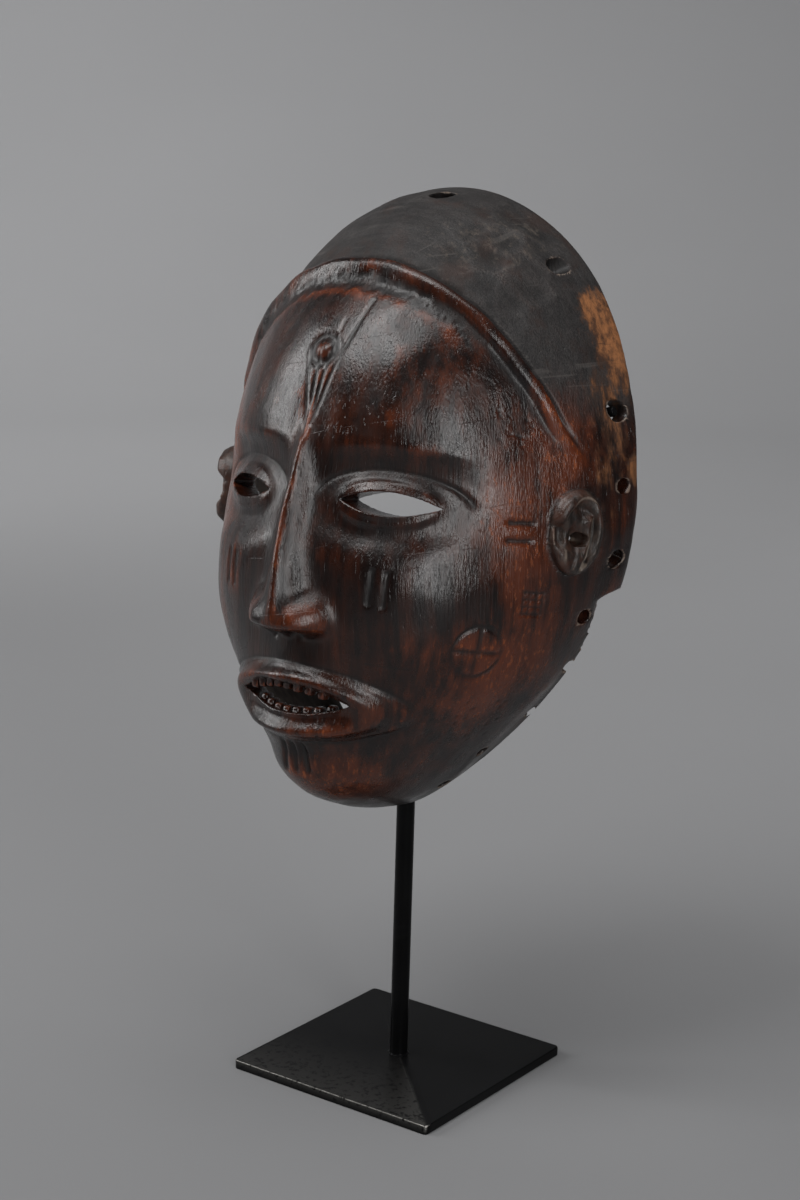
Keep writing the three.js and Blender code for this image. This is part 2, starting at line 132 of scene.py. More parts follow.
class SmoothNoise:
    """Sum of plane waves with seeded directions: a smooth random field in space."""

    def __init__(self, seed: int, wavelength: float, waves: int = 20) -> None:
        """Draws the waves.

        Args:
            seed: Seed of the draw.
            wavelength: Typical size of a patch.
            waves: Number of waves.
        """
        draw = np.random.default_rng(seed)
        ways = draw.normal(size=(waves, 3))
        ways /= np.linalg.norm(ways, axis=1, keepdims=True)
        pace = draw.uniform(0.6, 1.6, size=(waves, 1))
        self.rates = ways * pace * (2.0 * math.pi / wavelength)
        self.phases = draw.uniform(0.0, 2.0 * math.pi, waves)
        self.gain = math.sqrt(2.0 / waves)

    def at(self, points: np.ndarray) -> np.ndarray:
        """Value at points, about -2 to 2 with a mean of 0."""
        return np.sin(points @ self.rates.T + self.phases).sum(axis=-1) * self.gain


@dataclass(frozen=True)
class HeadPlan:
    """Driving sizes of the carved head, the same as in the solid model."""

    half_width: float = 93.5
    crown: float = 122.0
    chin: float = 130.0
    chin_taper: float = 0.51
    depth: float = 92.0
    front_drop: float = 22.0
    wall: float = 7.0
    hairline: float = 86.0
    band_slope: float = 0.54
    band_offset: float = 18.0
    band_ends_at: float = 24.0
    eye_slit: float = 9.0
    mouth_open: float = 12.0
    lean: float = math.radians(9.0)
    roll: float = math.radians(1.4)
    seat_back: float = 14.4
    seat_height: float = 248.2

    @property
    def third(self) -> float:
        """A third of the face, from hairline to chin."""
        return (self.hairline + self.chin) / 3.0

    @property
    def brow(self) -> float:
        """Height of the brow."""
        return self.hairline - self.third

    @property
    def nose_base(self) -> float:
        """Height of the base of the nose."""
        return self.brow - self.third

    @property
    def mouth_line(self) -> float:
        """Height of the line between the lips."""
        return self.nose_base - self.third / 3.0

    @property
    def eye_line(self) -> float:
        """Height of the eyes, half way up the head."""
        return (self.crown - self.chin) / 2.0

    @property
    def eye_width(self) -> float:
        """Width of an eye, a fifth of the face."""
        return 2.0 * self.half_width * 0.9 / 5.0

    @property
    def mouth_width(self) -> float:
        """Width of the mouth, an eye and a half."""
        return self.eye_width * 1.5

    def rim(self, angle: np.ndarray, inset: float | np.ndarray = 0.0) -> tuple[np.ndarray, np.ndarray]:
        """Rim outline seen from the front.

        Args:
            angle: Angle from the mask's left side.
            inset: How far inside the outer edge.

        Returns:
            Positions across and up.
        """
        s = np.sin(angle)
        low = np.minimum(0.0, s)
        across = (self.half_width - inset) * np.cos(angle) * (1.0 - self.chin_taper * low * low)
        up = (np.where(s >= 0.0, self.crown, self.chin) - inset) * s
        return across, up

    @staticmethod
    def edge_fullness(upward: np.ndarray) -> np.ndarray:
        """How square the bowl's section is towards the rim: 2 is round, more is boxy."""
        return 1.45 + np.where(upward < 0.0, 1.7, 0.6) * upward * upward

    @staticmethod
    def rim_back(upward: np.ndarray) -> np.ndarray:
        """How far the rim reaches behind its plane: a little round the sides, most below the ears."""
        sides = smoothstep(upward, -1.0, -0.7) * (1.0 - smoothstep(upward, 0.8, 1.0))
        return 2.5 * sides + 3.8 * np.exp(-np.square((upward + 0.27) / 0.16))

    def bowl(self, disc_x: np.ndarray, disc_y: np.ndarray, inset: float) -> np.ndarray:
        """Plain bowl of the head before carving.

        Args:
            disc_x: Disc position across, the rim is the unit circle.
            disc_y: Disc position up.
            inset: How far inside the outer skin.

        Returns:
            Points, the last axis is x, y, z.
        """
        radius = np.minimum(1.0, np.hypot(disc_x, disc_y))
        angle = np.arctan2(disc_y, disc_x)
        edge = self.edge_fullness(np.sin(angle))
        fullness = 2.0 + (edge - 2.0) * smoothstep(radius, 0.0, 0.75)
        turn = radius * math.pi / 2.0
        out = np.power(np.sin(turn), 2.0 / fullness)
        front = np.power(np.maximum(0.0, np.cos(turn)), 2.0 / fullness)
        across, up = self.rim(angle, inset)
        back = self.rim_back(np.sin(angle)) * (1.0 - smoothstep(front, 0.0, 0.27))
        return np.stack(
            [
                across * out,
                back - (self.depth - inset * 1.1) * front,
                -self.front_drop * (1.0 - out) + up * out,
            ],
            axis=-1,
        )

    def to_world(self, points: np.ndarray) -> np.ndarray:
        """Turns points in the mask's frame, in millimetres, to the scene's metres."""
        lean_cos, lean_sin = math.cos(self.lean), math.sin(self.lean)
        roll_cos, roll_sin = math.cos(self.roll), math.sin(self.roll)
        rolled = np.array([[roll_cos, 0, -roll_sin], [0, 1, 0], [roll_sin, 0, roll_cos]])
        leaned = np.array([[1, 0, 0], [0, lean_cos, lean_sin], [0, -lean_sin, lean_cos]])
        seat = np.array([0.0, self.seat_back, self.seat_height])
        return (points @ (leaned @ rolled).T + seat) * MM


@dataclass(frozen=True)
class FaceRelief:
    """Heights of the face's forms over the plain bowl."""

    plan: HeadPlan
    muzzle: float = 5.0
    cheek: float = 4.5
    forehead: float = 3.0
    chin: float = 5.0
    socket: float = 7.5
    nose_root: float = 2.5
    nose_tip: float = 14.0
    nose_root_half_width: float = 4.5
    nose_tip_half_width: float = 10.0
    nose_wing: float = 6.5
    lid: float = 6.6
    lip: float = 4.0
    under_lip: float = 2.0

    def broad(self, across: np.ndarray, up: np.ndarray) -> np.ndarray:
        """Sockets, muzzle, cheeks, forehead and chin, which both skins follow.

        Args:
            across: Places across the mask.
            up: Places up the mask.

        Returns:
            Height over the bowl.
        """
        plan = self.plan
        side = np.abs(across)
        socket = bump(side, up, (plan.eye_width, plan.eye_line + 2.0), (25.0, 18.0), 1.6)
        muzzle = bump(across, up, (0.0, plan.mouth_line), (33.0, 22.0))
        cheek = bump(side, up, (48.0, plan.nose_base + 4.0), (26.0, 30.0))
        forehead = bump(across, up, (0.0, 48.0), (46.0, 30.0))
        chin = bump(across, up, (0.0, -plan.chin + 21.0), (32.0, 15.0))
        raised = self.muzzle * muzzle + self.cheek * cheek + self.forehead * forehead + self.chin * chin
        return raised - self.socket * socket

    def nose(self, across: np.ndarray, up: np.ndarray) -> np.ndarray:
        """Slender wedge that widens and rises down to its rounded tip.

        Args:
            across: Places across the mask.
            up: Places up the mask.

        Returns:
            Height over the bowl.
        """
        plan = self.plan
        top_end = plan.brow + 8.0
        down = np.clip((top_end - up) / (top_end - plan.nose_base), 0.0, 1.0)
        height = self.nose_root + (self.nose_tip - self.nose_root) * np.power(down, 1.15)
        half_width = self.nose_root_half_width
        half_width += (self.nose_tip_half_width - self.nose_root_half_width) * down * down
        ridge = np.exp(-np.power(np.abs(across) / half_width, 2.2))
        underside = smoothstep(up, plan.nose_base - 1.0, plan.nose_base + 7.0)
        top = 1.0 - smoothstep(up, plan.brow - 4.0, plan.brow + 18.0)
        place = (plan.eye_width * 0.33, plan.nose_base + 9.0)
        wing = bump(np.abs(across), up, place, (6.5, 7.5), 1.3)
        return (height * ridge + self.nose_wing * wing) * underside * top

    def lip_oval(self, across: np.ndarray, up: np.ndarray) -> np.ndarray:
        """Distance from the middle of the mouth, 1 along the crest of the lips."""
        plan = self.plan
        u = across / (plan.mouth_width * 0.53)
        v = (up - plan.mouth_line) / (plan.mouth_open * 0.84)
        return np.hypot(u, v)

    def lids_and_lips(self, across: np.ndarray, up: np.ndarray) -> np.ndarray:
        """Almond lids and the lips round the open mouth.

        Args:
            across: Places across the mask.
            up: Places up the mask.

        Returns:
            Height over the bowl.
        """
        plan = self.plan
        side = np.abs(across)
        lids = bump(side, up, (plan.eye_width, plan.eye_line), (plan.eye_width * 0.56, 9.5), 1.4)
        lips = np.exp(-np.square((self.lip_oval(across, up) - 1.0) / 0.25))
        under_lip = bump(across, up, (0.0, plan.mouth_line - 20.0), (24.0, 5.0))
        return self.lid * lids + self.lip * lips - self.under_lip * under_lip


@dataclass(frozen=True)
class Stroke:
    """Straight cut of a patch of marks, in millimetres on the surface."""

    start: tuple[float, float]
    end: tuple[float, float]
    width: float = 0.9
    depth: float = 0.8

    def height(self, a: np.ndarray, b: np.ndarray) -> np.ndarray:
        """Height of the cut at surface positions, negative inside it."""
        start = np.array(self.start)
        way = np.array(self.end) - start
        length = float(way @ way)
        t = np.clip(((a - start[0]) * way[0] + (b - start[1]) * way[1]) / length, 0.0, 1.0)
        gap = np.hypot(a - start[0] - t * way[0], b - start[1] - t * way[1])
        return -self.depth * np.exp(-np.square(gap / self.width))


@dataclass(frozen=True)
class Ring:
    """Round cut of a patch of marks; a radius of 0 is a dot."""

    centre: tuple[float, float] = (0.0, 0.0)
    radius: float = 10.0
    width: float = 0.9
    depth: float = 0.8

    def height(self, a: np.ndarray, b: np.ndarray) -> np.ndarray:
        """Height of the cut at surface positions, negative inside it."""
        gap = np.hypot(a - self.centre[0], b - self.centre[1]) - self.radius
        return -self.depth * np.exp(-np.square(gap / self.width))


@dataclass(frozen=True)
class MarkPatch:
    """Group of carved marks laid on the surface at one place of the face."""

    across: float
    up: float
    cuts: tuple[Stroke | Ring, ...]
    reach: float = 16.0

    def height(self, points: np.ndarray, normals: np.ndarray) -> np.ndarray:
        """Height of all cuts.

        Args:
            points: Surface points.
            normals: Their outward normals.

        Returns:
            Height at every point, 0 away from the patch.
        """
        gap = np.square(points[:, 0] - self.across) + np.square(points[:, 2] - self.up)
        middle = int(np.argmin(gap))
        centre, out = points[middle], normals[middle]
        first = np.cross((0.0, 0.0, 1.0), out)
        first /= np.linalg.norm(first)
        second = np.cross(out, first)
        offset = points - centre
        near = np.linalg.norm(offset, axis=1) < self.reach
        total = np.zeros(len(points))
        a, b = offset[near] @ first, offset[near] @ second
        for cut in self.cuts:
            total[near] = np.minimum(total[near], cut.height(a, b))
        return total


@dataclass(frozen=True)
class Scarification:
    """Traditional marks of the face, set out from the plan's own heights."""

    plan: HeadPlan

    def patches(self) -> list[MarkPatch]:
        """All patches of cut marks.

        Returns:
            Patches with their places and cuts.
        """
        plan = self.plan
        tears = (
            Stroke((-3.4, -6.0), (-2.6, 6.5), 1.1, 0.95),
            Stroke((2.4, -6.5), (3.2, 6.0), 1.1, 0.95),
        )
        chin_marks = tuple(Stroke((x, -5.5), (x * 0.8, 5.5), 1.2, 1.1) for x in (-5.5, 0.0, 5.5))
        bars = (Stroke((-4.5, 3.2), (4.5, 3.6), 1.2, 0.8), Stroke((-4.5, -3.6), (4.0, -3.2), 1.2, 0.8))
        radius = 10.5
        cross = (
            Ring(radius=radius, width=0.85, depth=0.8),
            Stroke((-radius, 0.3), (radius, -0.3), 0.85, 0.8),
            Stroke((0.3, -radius), (-0.2, radius), 0.85, 0.8),
        )
        hatch = tuple(
            Stroke((-4.2 + 2.8 * i, -4.5), (-4.2 + 2.8 * i, 4.5), 0.6, 0.6) for i in range(4)
        ) + tuple(Stroke((-4.5, -4.2 + 2.8 * i), (4.5, -4.2 + 2.8 * i), 0.6, 0.6) for i in range(4))
        patches = [MarkPatch(0.0, -plan.chin + 24.0, chin_marks)]
        for side in (1.0, -1.0):
            patches += [
                MarkPatch(side * (plan.eye_width + 2.0), plan.eye_line - 32.0, tears),
                MarkPatch(side * 71.0, plan.eye_line - 6.0, bars),
                MarkPatch(side * 61.5, plan.nose_base + 1.0, cross),
                MarkPatch(side * 74.0, plan.eye_line - 33.0, hatch),
                MarkPatch(side * 66.0, plan.brow + 14.0, self.dots(int(5 + side), 9, 7.0)),
                MarkPatch(side * 52.0, plan.mouth_line - 4.0, self.dots(int(12 + side), 16, 11.0)),
            ]
        patches.append(MarkPatch(38.0, plan.mouth_line + 17.0, (Stroke((-9, 0), (9, -0.4), 0.45, 0.35),)))
        return patches

    @staticmethod
    def dots(seed: int, count: int, spread: float) -> tuple[Ring, ...]:
        """Loose cluster of small pricked dots.

        Args:
            seed: Seed of their places.
            count: How many.
            spread: How far they scatter.

        Returns:
            The dots.
        """
        draw = np.random.default_rng(seed)
        places = draw.uniform(-spread, spread, size=(count, 2))
        return tuple(Ring((float(a), float(b)), 0.0, 0.65, 0.45) for a, b in places)

    def forehead(self, across: np.ndarray, up: np.ndarray) -> np.ndarray:
        """Raised line up the nose, its cut fan of lines and the knot on the forehead.

        Args:
            across: Places across the mask.
            up: Places up the mask.

        Returns:
            Height over the forehead, negative in the cuts.
        """
        plan = self.plan
        knot_up = plan.brow + 0.5 * plan.third
        on_nose = smoothstep(up, plan.nose_base + 5.0, plan.nose_base + 12.0)
        below_fan = 1.0 - smoothstep(up, plan.brow + 8.0, plan.brow + 20.0)
        wander = 0.5 * np.sin(up / 9.0)
        line = 1.3 * np.exp(-np.square((across - wander) / 1.3)) * on_nose * below_fan
        fan = np.zeros_like(across)
        root_up = plan.brow + 3.0
        for lean, top in ((-0.10, 0.46), (-0.03, 0.52), (0.05, 0.62), (0.16, 0.74)):
            end_up = root_up + plan.third * top
            t = np.clip((up - root_up) / (end_up - root_up), 0.0, 1.0)
            gap = np.hypot(across - t * lean * plan.third, up - (root_up + t * (end_up - root_up)))
            fan = np.maximum(fan, np.exp(-np.square(gap / 0.65)) * (1.0 - 0.55 * t))
        moat = np.exp(-np.square((np.hypot(across + 1.0, up - knot_up) - 5.2) / 1.5))
        knot = np.exp(-np.power(np.hypot(across + 1.0, (up - knot_up) * 1.2) / 3.0, 3.0))
        return line - 0.8 * fan - 0.8 * moat + 1.0 * knot


@dataclass(frozen=True)
class Facets:
    """Flat tool cuts: the surface is a little higher where neighbouring cuts meet."""

    seed: int
    spacing: float
    ridge: float
    stretch: tuple[float, float, float] = (1.0, 1.0, 1.0)

    def height(self, points: np.ndarray) -> np.ndarray:
        """Height of the cuts at surface points, 0 in the middle of each cut.

        Args:
            points: Surface points.

        Returns:
            Height at each point.
        """
        scaled = points / np.array(self.stretch)
        draw = np.random.default_rng(self.seed)
        centres: list[np.ndarray] = []
        for index in draw.permutation(len(scaled))[:5000]:
            spot = scaled[index]
            if not centres or np.min(np.linalg.norm(np.array(centres) - spot, axis=1)) > self.spacing:
                centres.append(spot)
        tree = KDTree(len(centres))
        for index, centre in enumerate(centres):
            tree.insert(centre, index)
        tree.balance()
        gaps = np.array([tree.find(spot)[2] for spot in scaled])
        return self.ridge * np.square(gaps / self.spacing)


@dataclass(frozen=True)
class DiscGrid:
    """Square grid of cells drawn onto the unit disc, with a point at every half cell."""

    columns: int
    rows: int
    evenness: float = 0.7

    def places(
        self, edge_power: Callable[[np.ndarray], np.ndarray] | None = None
    ) -> tuple[np.ndarray, np.ndarray]:
        """Disc positions of all points.

        Args:
            edge_power: How quickly cells narrow towards the rim, by the angle round it.

        Returns:
            Positions across and up, in rows.
        """
        s = np.linspace(-1.0, 1.0, 2 * self.columns + 1)
        t = np.linspace(-1.0, 1.0, 2 * self.rows + 1)
        s = s * (self.evenness + (1.0 - self.evenness) * s * s)
        t = t * (self.evenness + (1.0 - self.evenness) * t * t)
        grid_s, grid_t = np.meshgrid(s, t)
        disc_x = grid_s * np.sqrt(1.0 - grid_t**2 / 2.0)
        disc_y = grid_t * np.sqrt(1.0 - grid_s**2 / 2.0)
        if edge_power is not None:
            radius = np.clip(np.hypot(disc_x, disc_y), 1e-9, 1.0)
            power = 1.0 + (edge_power(np.arctan2(disc_y, disc_x)) - 1.0) * smoothstep(radius, 0.3, 1.0)
            pull = (1.0 - np.power(1.0 - radius, power)) / radius
            disc_x, disc_y = disc_x * pull, disc_y * pull
        return disc_x, disc_y

    def split(self, height: np.ndarray, limit: float, most: int) -> np.ndarray:
        """Cells that a flat quad would serve badly.

        Args:
            height: Height at every point.
            limit: Error below which a cell stays whole.
            most: Most cells to split.

        Returns:
            True for each cell to split; cells on the border stay whole.
        """
        low, high = height[:-1:2], height[2::2]
        corners = (low[:, :-1:2], low[:, 2::2], high[:, :-1:2], high[:, 2::2])
        middle = height[1::2]
        error = np.abs(middle[:, 1::2] - sum(corners) / 4.0)
        for found, first, second in (
            (low[:, 1::2], corners[0], corners[1]),
            (high[:, 1::2], corners[2], corners[3]),
            (middle[:, :-1:2], corners[0], corners[2]),
            (middle[:, 2::2], corners[1], corners[3]),
        ):
            error = np.maximum(error, np.abs(found - (first + second) / 2.0))
        error[[0, -1], :] = 0.0
        error[:, [0, -1]] = 0.0
        worst = np.sort(error.ravel())[-most]
        return error > max(limit, worst)

    def faces(self, split: np.ndarray | None = None) -> Faces:
        """Faces of the grid; a whole cell beside a split one takes its mid-edge point too.

        Args:
            split: Cells that are split in four.

        Returns:
            Faces by point number.
        """
        width = 2 * self.columns + 1
        cells = np.zeros((self.rows + 2, self.columns + 2), dtype=bool)
        if split is not None:
            cells[1:-1, 1:-1] = split
        found: Faces = []
        for j in range(self.rows):
            for i in range(self.columns):
                at = 2 * j * width + 2 * i
                if cells[j + 1, i + 1]:
                    for corner in (at, at + 1, at + width, at + width + 1):
                        found.append((corner, corner + 1, corner + 1 + width, corner + width))
                    continue
                face = [at]
                if cells[j, i + 1]:
                    face.append(at + 1)
                face.append(at + 2)
                if cells[j + 1, i + 2]:
                    face.append(at + 2 + width)
                face.append(at + 2 + 2 * width)
                if cells[j + 2, i + 1]:
                    face.append(at + 1 + 2 * width)
                face.append(at + 2 * width)
                if cells[j + 1, i]:
                    face.append(at + width)
                found.append(tuple(face))
        return found

    def border(self) -> list[int]:
        """Corner points of the border cells, once round from the first corner."""
        width = 2 * self.columns + 1
        bottom = [2 * i for i in range(self.columns)]
        right = [2 * j * width + 2 * self.columns for j in range(self.rows)]
        top = [2 * self.rows * width + 2 * i for i in range(self.columns, 0, -1)]
        left = [2 * j * width for j in range(self.rows, 0, -1)]
        return bottom + right + top + left


def grid_normals(points: np.ndarray) -> np.ndarray:
    """Outward normals of a grid of points that faces -Y in its middle."""
    along = np.gradient(points, axis=1)
    upward = np.gradient(points, axis=0)
    normals = np.cross(along, upward)
    length = np.linalg.norm(normals, axis=-1, keepdims=True)
    return normals / np.maximum(length, 1e-9)


def blur(values: np.ndarray, radius: int) -> np.ndarray:
    """Averages a grid of values over a square, twice, which is close to a round blur.

    Args:
        values: Grid of values.
        radius: Half the width of the square, in cells.

    Returns:
        Blurred values, in the same grid.
    """
    result = values
    for _ in range(2):
        for axis in (0, 1):
            padded = np.concatenate(
                [np.repeat(result.take([0], axis), radius, axis), result,
                 np.repeat(result.take([-1], axis), radius, axis)],
                axis,
            )
            total = np.cumsum(padded, axis=axis)
            zero = np.zeros_like(total.take([0], axis))
            total = np.concatenate([zero, total], axis)
            span = 2 * radius + 1
            count = values.shape[axis]
            result = (
                total.take(range(span, span + count), axis) - total.take(range(count), axis)
            ) / span
    return result


def band(loop: list[int], following: list[int]) -> Faces:
    """Quads between two closed loops with the same number of points."""
    pairs = [(k, (k + 1) % len(loop)) for k in range(len(loop))]
    return [(loop[i], loop[j], following[j], following[i]) for i, j in pairs]


def ring_faces(count: int, rings: int) -> Faces:
    """Quads between rings of points that follow each other.

    Args:
        count: Points in each ring.
        rings: Number of rings.

    Returns:
        The faces.
    """
    loops = [list(range(ring * count, (ring + 1) * count)) for ring in range(rings)]
    return [face for loop, following in zip(loops, loops[1:]) for face in band(loop, following)]


def capped_rings(count: int, rings: int) -> Faces:
    """Quads between rings of points and a flat end face on the first and the last ring."""
    last = (rings - 1) * count
    return [*ring_faces(count, rings), tuple(range(count))[::-1], tuple(range(last, last + count))]


def circle(count: int) -> np.ndarray:
    """Angles once round a circle."""
    return np.linspace(0.0, 2.0 * math.pi, count, endpoint=False)


def heading(angle: float) -> np.ndarray:
    """Unit direction at an angle in the level plane."""
    return np.array([math.cos(angle), math.sin(angle)])


def quarter_circle(steps: int, first: int = 0) -> list[tuple[float, float]]:
    """Sines and cosines along a quarter of a circle, from a given step on."""
    angles = [math.pi / 2.0 * k / steps for k in range(first, steps + 1)]
    return [(math.sin(angle), math.cos(angle)) for angle in angles]


def new_object(name: str, points: np.ndarray, faces: Faces) -> bpy.types.Object:
    """Makes a mesh object and links it to the scene.

    Args:
        name: Name of the object.
        points: Vertex places.
        faces: Faces by vertex number.

    Returns:
        The object.
    """
    mesh = bpy.data.meshes.new(name)
    mesh.from_pydata(points.tolist(), [], faces)
    mesh.update()
    piece = bpy.data.objects.new(name, mesh)
    bpy.context.scene.collection.objects.link(piece)
    return piece


def face_outward(mesh: bpy.types.Mesh) -> None:
    """Turns all faces of a closed mesh outward."""
    work = bmesh.new()
    work.from_mesh(mesh)
    bmesh.ops.recalc_face_normals(work, faces=work.faces)
    if work.calc_volume(signed=True) < 0.0:
        bmesh.ops.reverse_faces(work, faces=work.faces)
    work.to_mesh(mesh)
    work.free()


def combine(target: bpy.types.Object, tool: bpy.types.Object, operation: str) -> None:
    """Joins or cuts one closed mesh with another and removes the tool.

    Args:
        target: Object that is changed.
        tool: Object that is added or cut away.
        operation: UNION or DIFFERENCE.
    """
    modifier = target.modifiers.new("combine", "BOOLEAN")
    modifier.operation = operation
    modifier.solver = "MANIFOLD"
    modifier.object = tool
    modifier.material_mode = "TRANSFER"
    depsgraph = bpy.context.evaluated_depsgraph_get()
    result = bpy.data.meshes.new_from_object(target.evaluated_get(depsgraph), depsgraph=depsgraph)
    target.modifiers.clear()
    old = target.data
    target.data = result
    bpy.data.meshes.remove(old)
    bpy.data.objects.remove(tool)


class ShapeTools:
    """Closed meshes that the carver cuts and joins with, in the mask's frame."""

    @staticmethod
    def tube(
        ring: np.ndarray,
        start: np.ndarray,
        way: np.ndarray,
        length: float,
        steps: int,
        scale: tuple[float, float] = (1.0, 1.0),
    ) -> Shape:
        """Straight tube with flat ends.

        Args:
            ring: Outline points around the start, in space.
            start: Middle of the first end.
            way: Unit direction.
            length: Length of the tube.
            steps: Rings of faces along it.
            scale: Size of the outline at the first end and at the last.

        Returns:
            Points and faces.
        """
        layers = [
            ring * size + start + way * length * k / steps
            for k, size in enumerate(np.linspace(*scale, steps + 1))
        ]
        return np.concatenate(layers), capped_rings(len(ring), steps + 1)

    @staticmethod
    def almond(width: float, height: float, per_side: int = 40) -> np.ndarray:
        """Pointed oval in the front view, as points around the origin."""
        t = np.linspace(-1.0, 1.0, per_side + 1)
        upper = np.stack([t * width / 2.0, (1.0 - t * t) * height / 2.0], axis=1)[::-1]
        lower = upper[::-1] * np.array([1.0, -1.0])
        outline = np.concatenate([upper[:-1], lower[:-1]])
        return np.stack([outline[:, 0], np.zeros(len(outline)), outline[:, 1]], axis=1)

    @staticmethod
    def round_ring(way: np.ndarray, radius: float, count: int, seed: int) -> np.ndarray:
        """Slightly uneven circle square to a direction, as a hand drill leaves it.

        Args:
            way: Unit direction.
            radius: Mean radius.
            count: Number of points.
            seed: Seed of the unevenness.

        Returns:
            Points around the origin.
        """
        helper = np.array([0.0, 0.0, 1.0]) if abs(way[2]) < 0.9 else np.array([1.0, 0.0, 0.0])
        first = np.cross(way, helper)
        first /= np.linalg.norm(first)
        second = np.cross(way, first)
        turn = circle(count)
        phase = np.random.default_rng(seed).uniform(0.0, 6.0, 2)
        size = radius * (1.0 + 0.07 * np.sin(2 * turn + phase[0]) + 0.04 * np.sin(3 * turn + phase[1]))
        return size[:, None] * (np.cos(turn)[:, None] * first + np.sin(turn)[:, None] * second)

    @staticmethod
    def joined(name: str, parts: list[Shape]) -> bpy.types.Object:
        """Makes one object of several closed shapes that don't overlap.

        Args:
            name: Name of the object.
            parts: Points and faces of each shape.

        Returns:
            The object.
        """
        points: list[np.ndarray] = []
        faces: Faces = []
        first = 0
        for part_points, part_faces in parts:
            points.append(part_points)
            faces += [tuple(first + corner for corner in face) for face in part_faces]
            first += len(part_points)
        piece = new_object(name, np.concatenate(points), faces)
        face_outward(piece.data)
        return piece


@dataclass(frozen=True)
class RimHole:
    """Lacing hole of the rim, by its angle round the rim and its setback."""

    angle: float
    setback: float
    diameter: float
    slant: float = 0.0
    flare: float = 0.0
    side: float = 1.0
    reach: float = 24.0

    def line(self, plan: HeadPlan) -> tuple[np.ndarray, np.ndarray]:
        """Start of the hole on the outline and its outward direction.

        Args:
            plan: Plan of the head.

        Returns:
            Start and unit direction.
        """
        turn = math.radians(self.angle)
        here = np.array(plan.rim(np.array(turn)))
        ahead = np.array(plan.rim(np.array(turn + 0.01)))
        out = np.array([ahead[1] - here[1], 0.0, here[0] - ahead[0]])
        out /= np.linalg.norm(out)
        start = np.array([here[0], -self.setback, here[1]])
        slant = math.radians(self.slant)
        out = out * math.cos(slant) - np.array([0.0, math.sin(slant), 0.0])
        mirror = np.array([self.side, 1.0, 1.0])
        return start * mirror, out * mirror

    def drill(self, plan: HeadPlan, seed: int) -> Shape:
        """Drill that makes the hole; a flared one ends short of the point where it would close.

        Args:
            plan: Plan of the head.
            seed: Seed of its unevenness.

        Returns:
            Points and faces.
        """
        start, out = self.line(plan)
        reach = self.reach / 2.0 if self.flare else self.reach
        ring = ShapeTools.round_ring(out, self.diameter / 2.0, 28, seed)
        widen = self.flare * reach / (self.diameter / 2.0)
        scale = (1.0 - widen, 1.0 + widen)
        return ShapeTools.tube(ring, start - out * reach, out, 2.0 * reach, 30, scale)


@dataclass(frozen=True)
class HairlineRoll:
    """Carved edge of the hair: a groove, a rounded ridge and a long cove down to the forehead."""

    groove_at: float = -4.7
    groove_width: float = 1.0
    groove_depth: float = 2.2
    ridge: float = 2.7
    cove: float = 0.9
    cove_end: float = 8.4

    def height(self, distance: np.ndarray, strength: np.ndarray) -> np.ndarray:
        """Height of the roll.

        Args:
            distance: Distance from the hairline, positive on the face's side.
            strength: 0 where the cove has run out, 1 where it is deepest.

        Returns:
            Height over the forehead.
        """
        groove = -self.groove_depth * np.exp(-np.square((distance - self.groove_at) / self.groove_width))
        fall = 1.0 + 7.0 * strength
        slope = smoothstep(distance, -4.2, -2.2) * (1.0 - smoothstep((distance + 1.6) / fall, 0.0, 1.0))
        bead = np.sqrt(np.clip(1.0 - np.square((distance + 1.2) / 3.2), 0.0, 1.0))
        ridge = np.maximum(slope, 0.96 * bead)
        cove = smoothstep(distance, 1.0, self.cove_end - 1.0)
        cove = cove * (1.0 - smoothstep(distance, self.cove_end - 0.5, self.cove_end + 4.5))
        return groove + self.ridge * ridge - self.cove * strength * cove

    def grit(self, distance: np.ndarray) -> np.ndarray:
        """1 along the rough bottom of the cove, 0 away from it."""
        return np.exp(-np.square((distance - self.cove_end + 0.6) / 2.0))


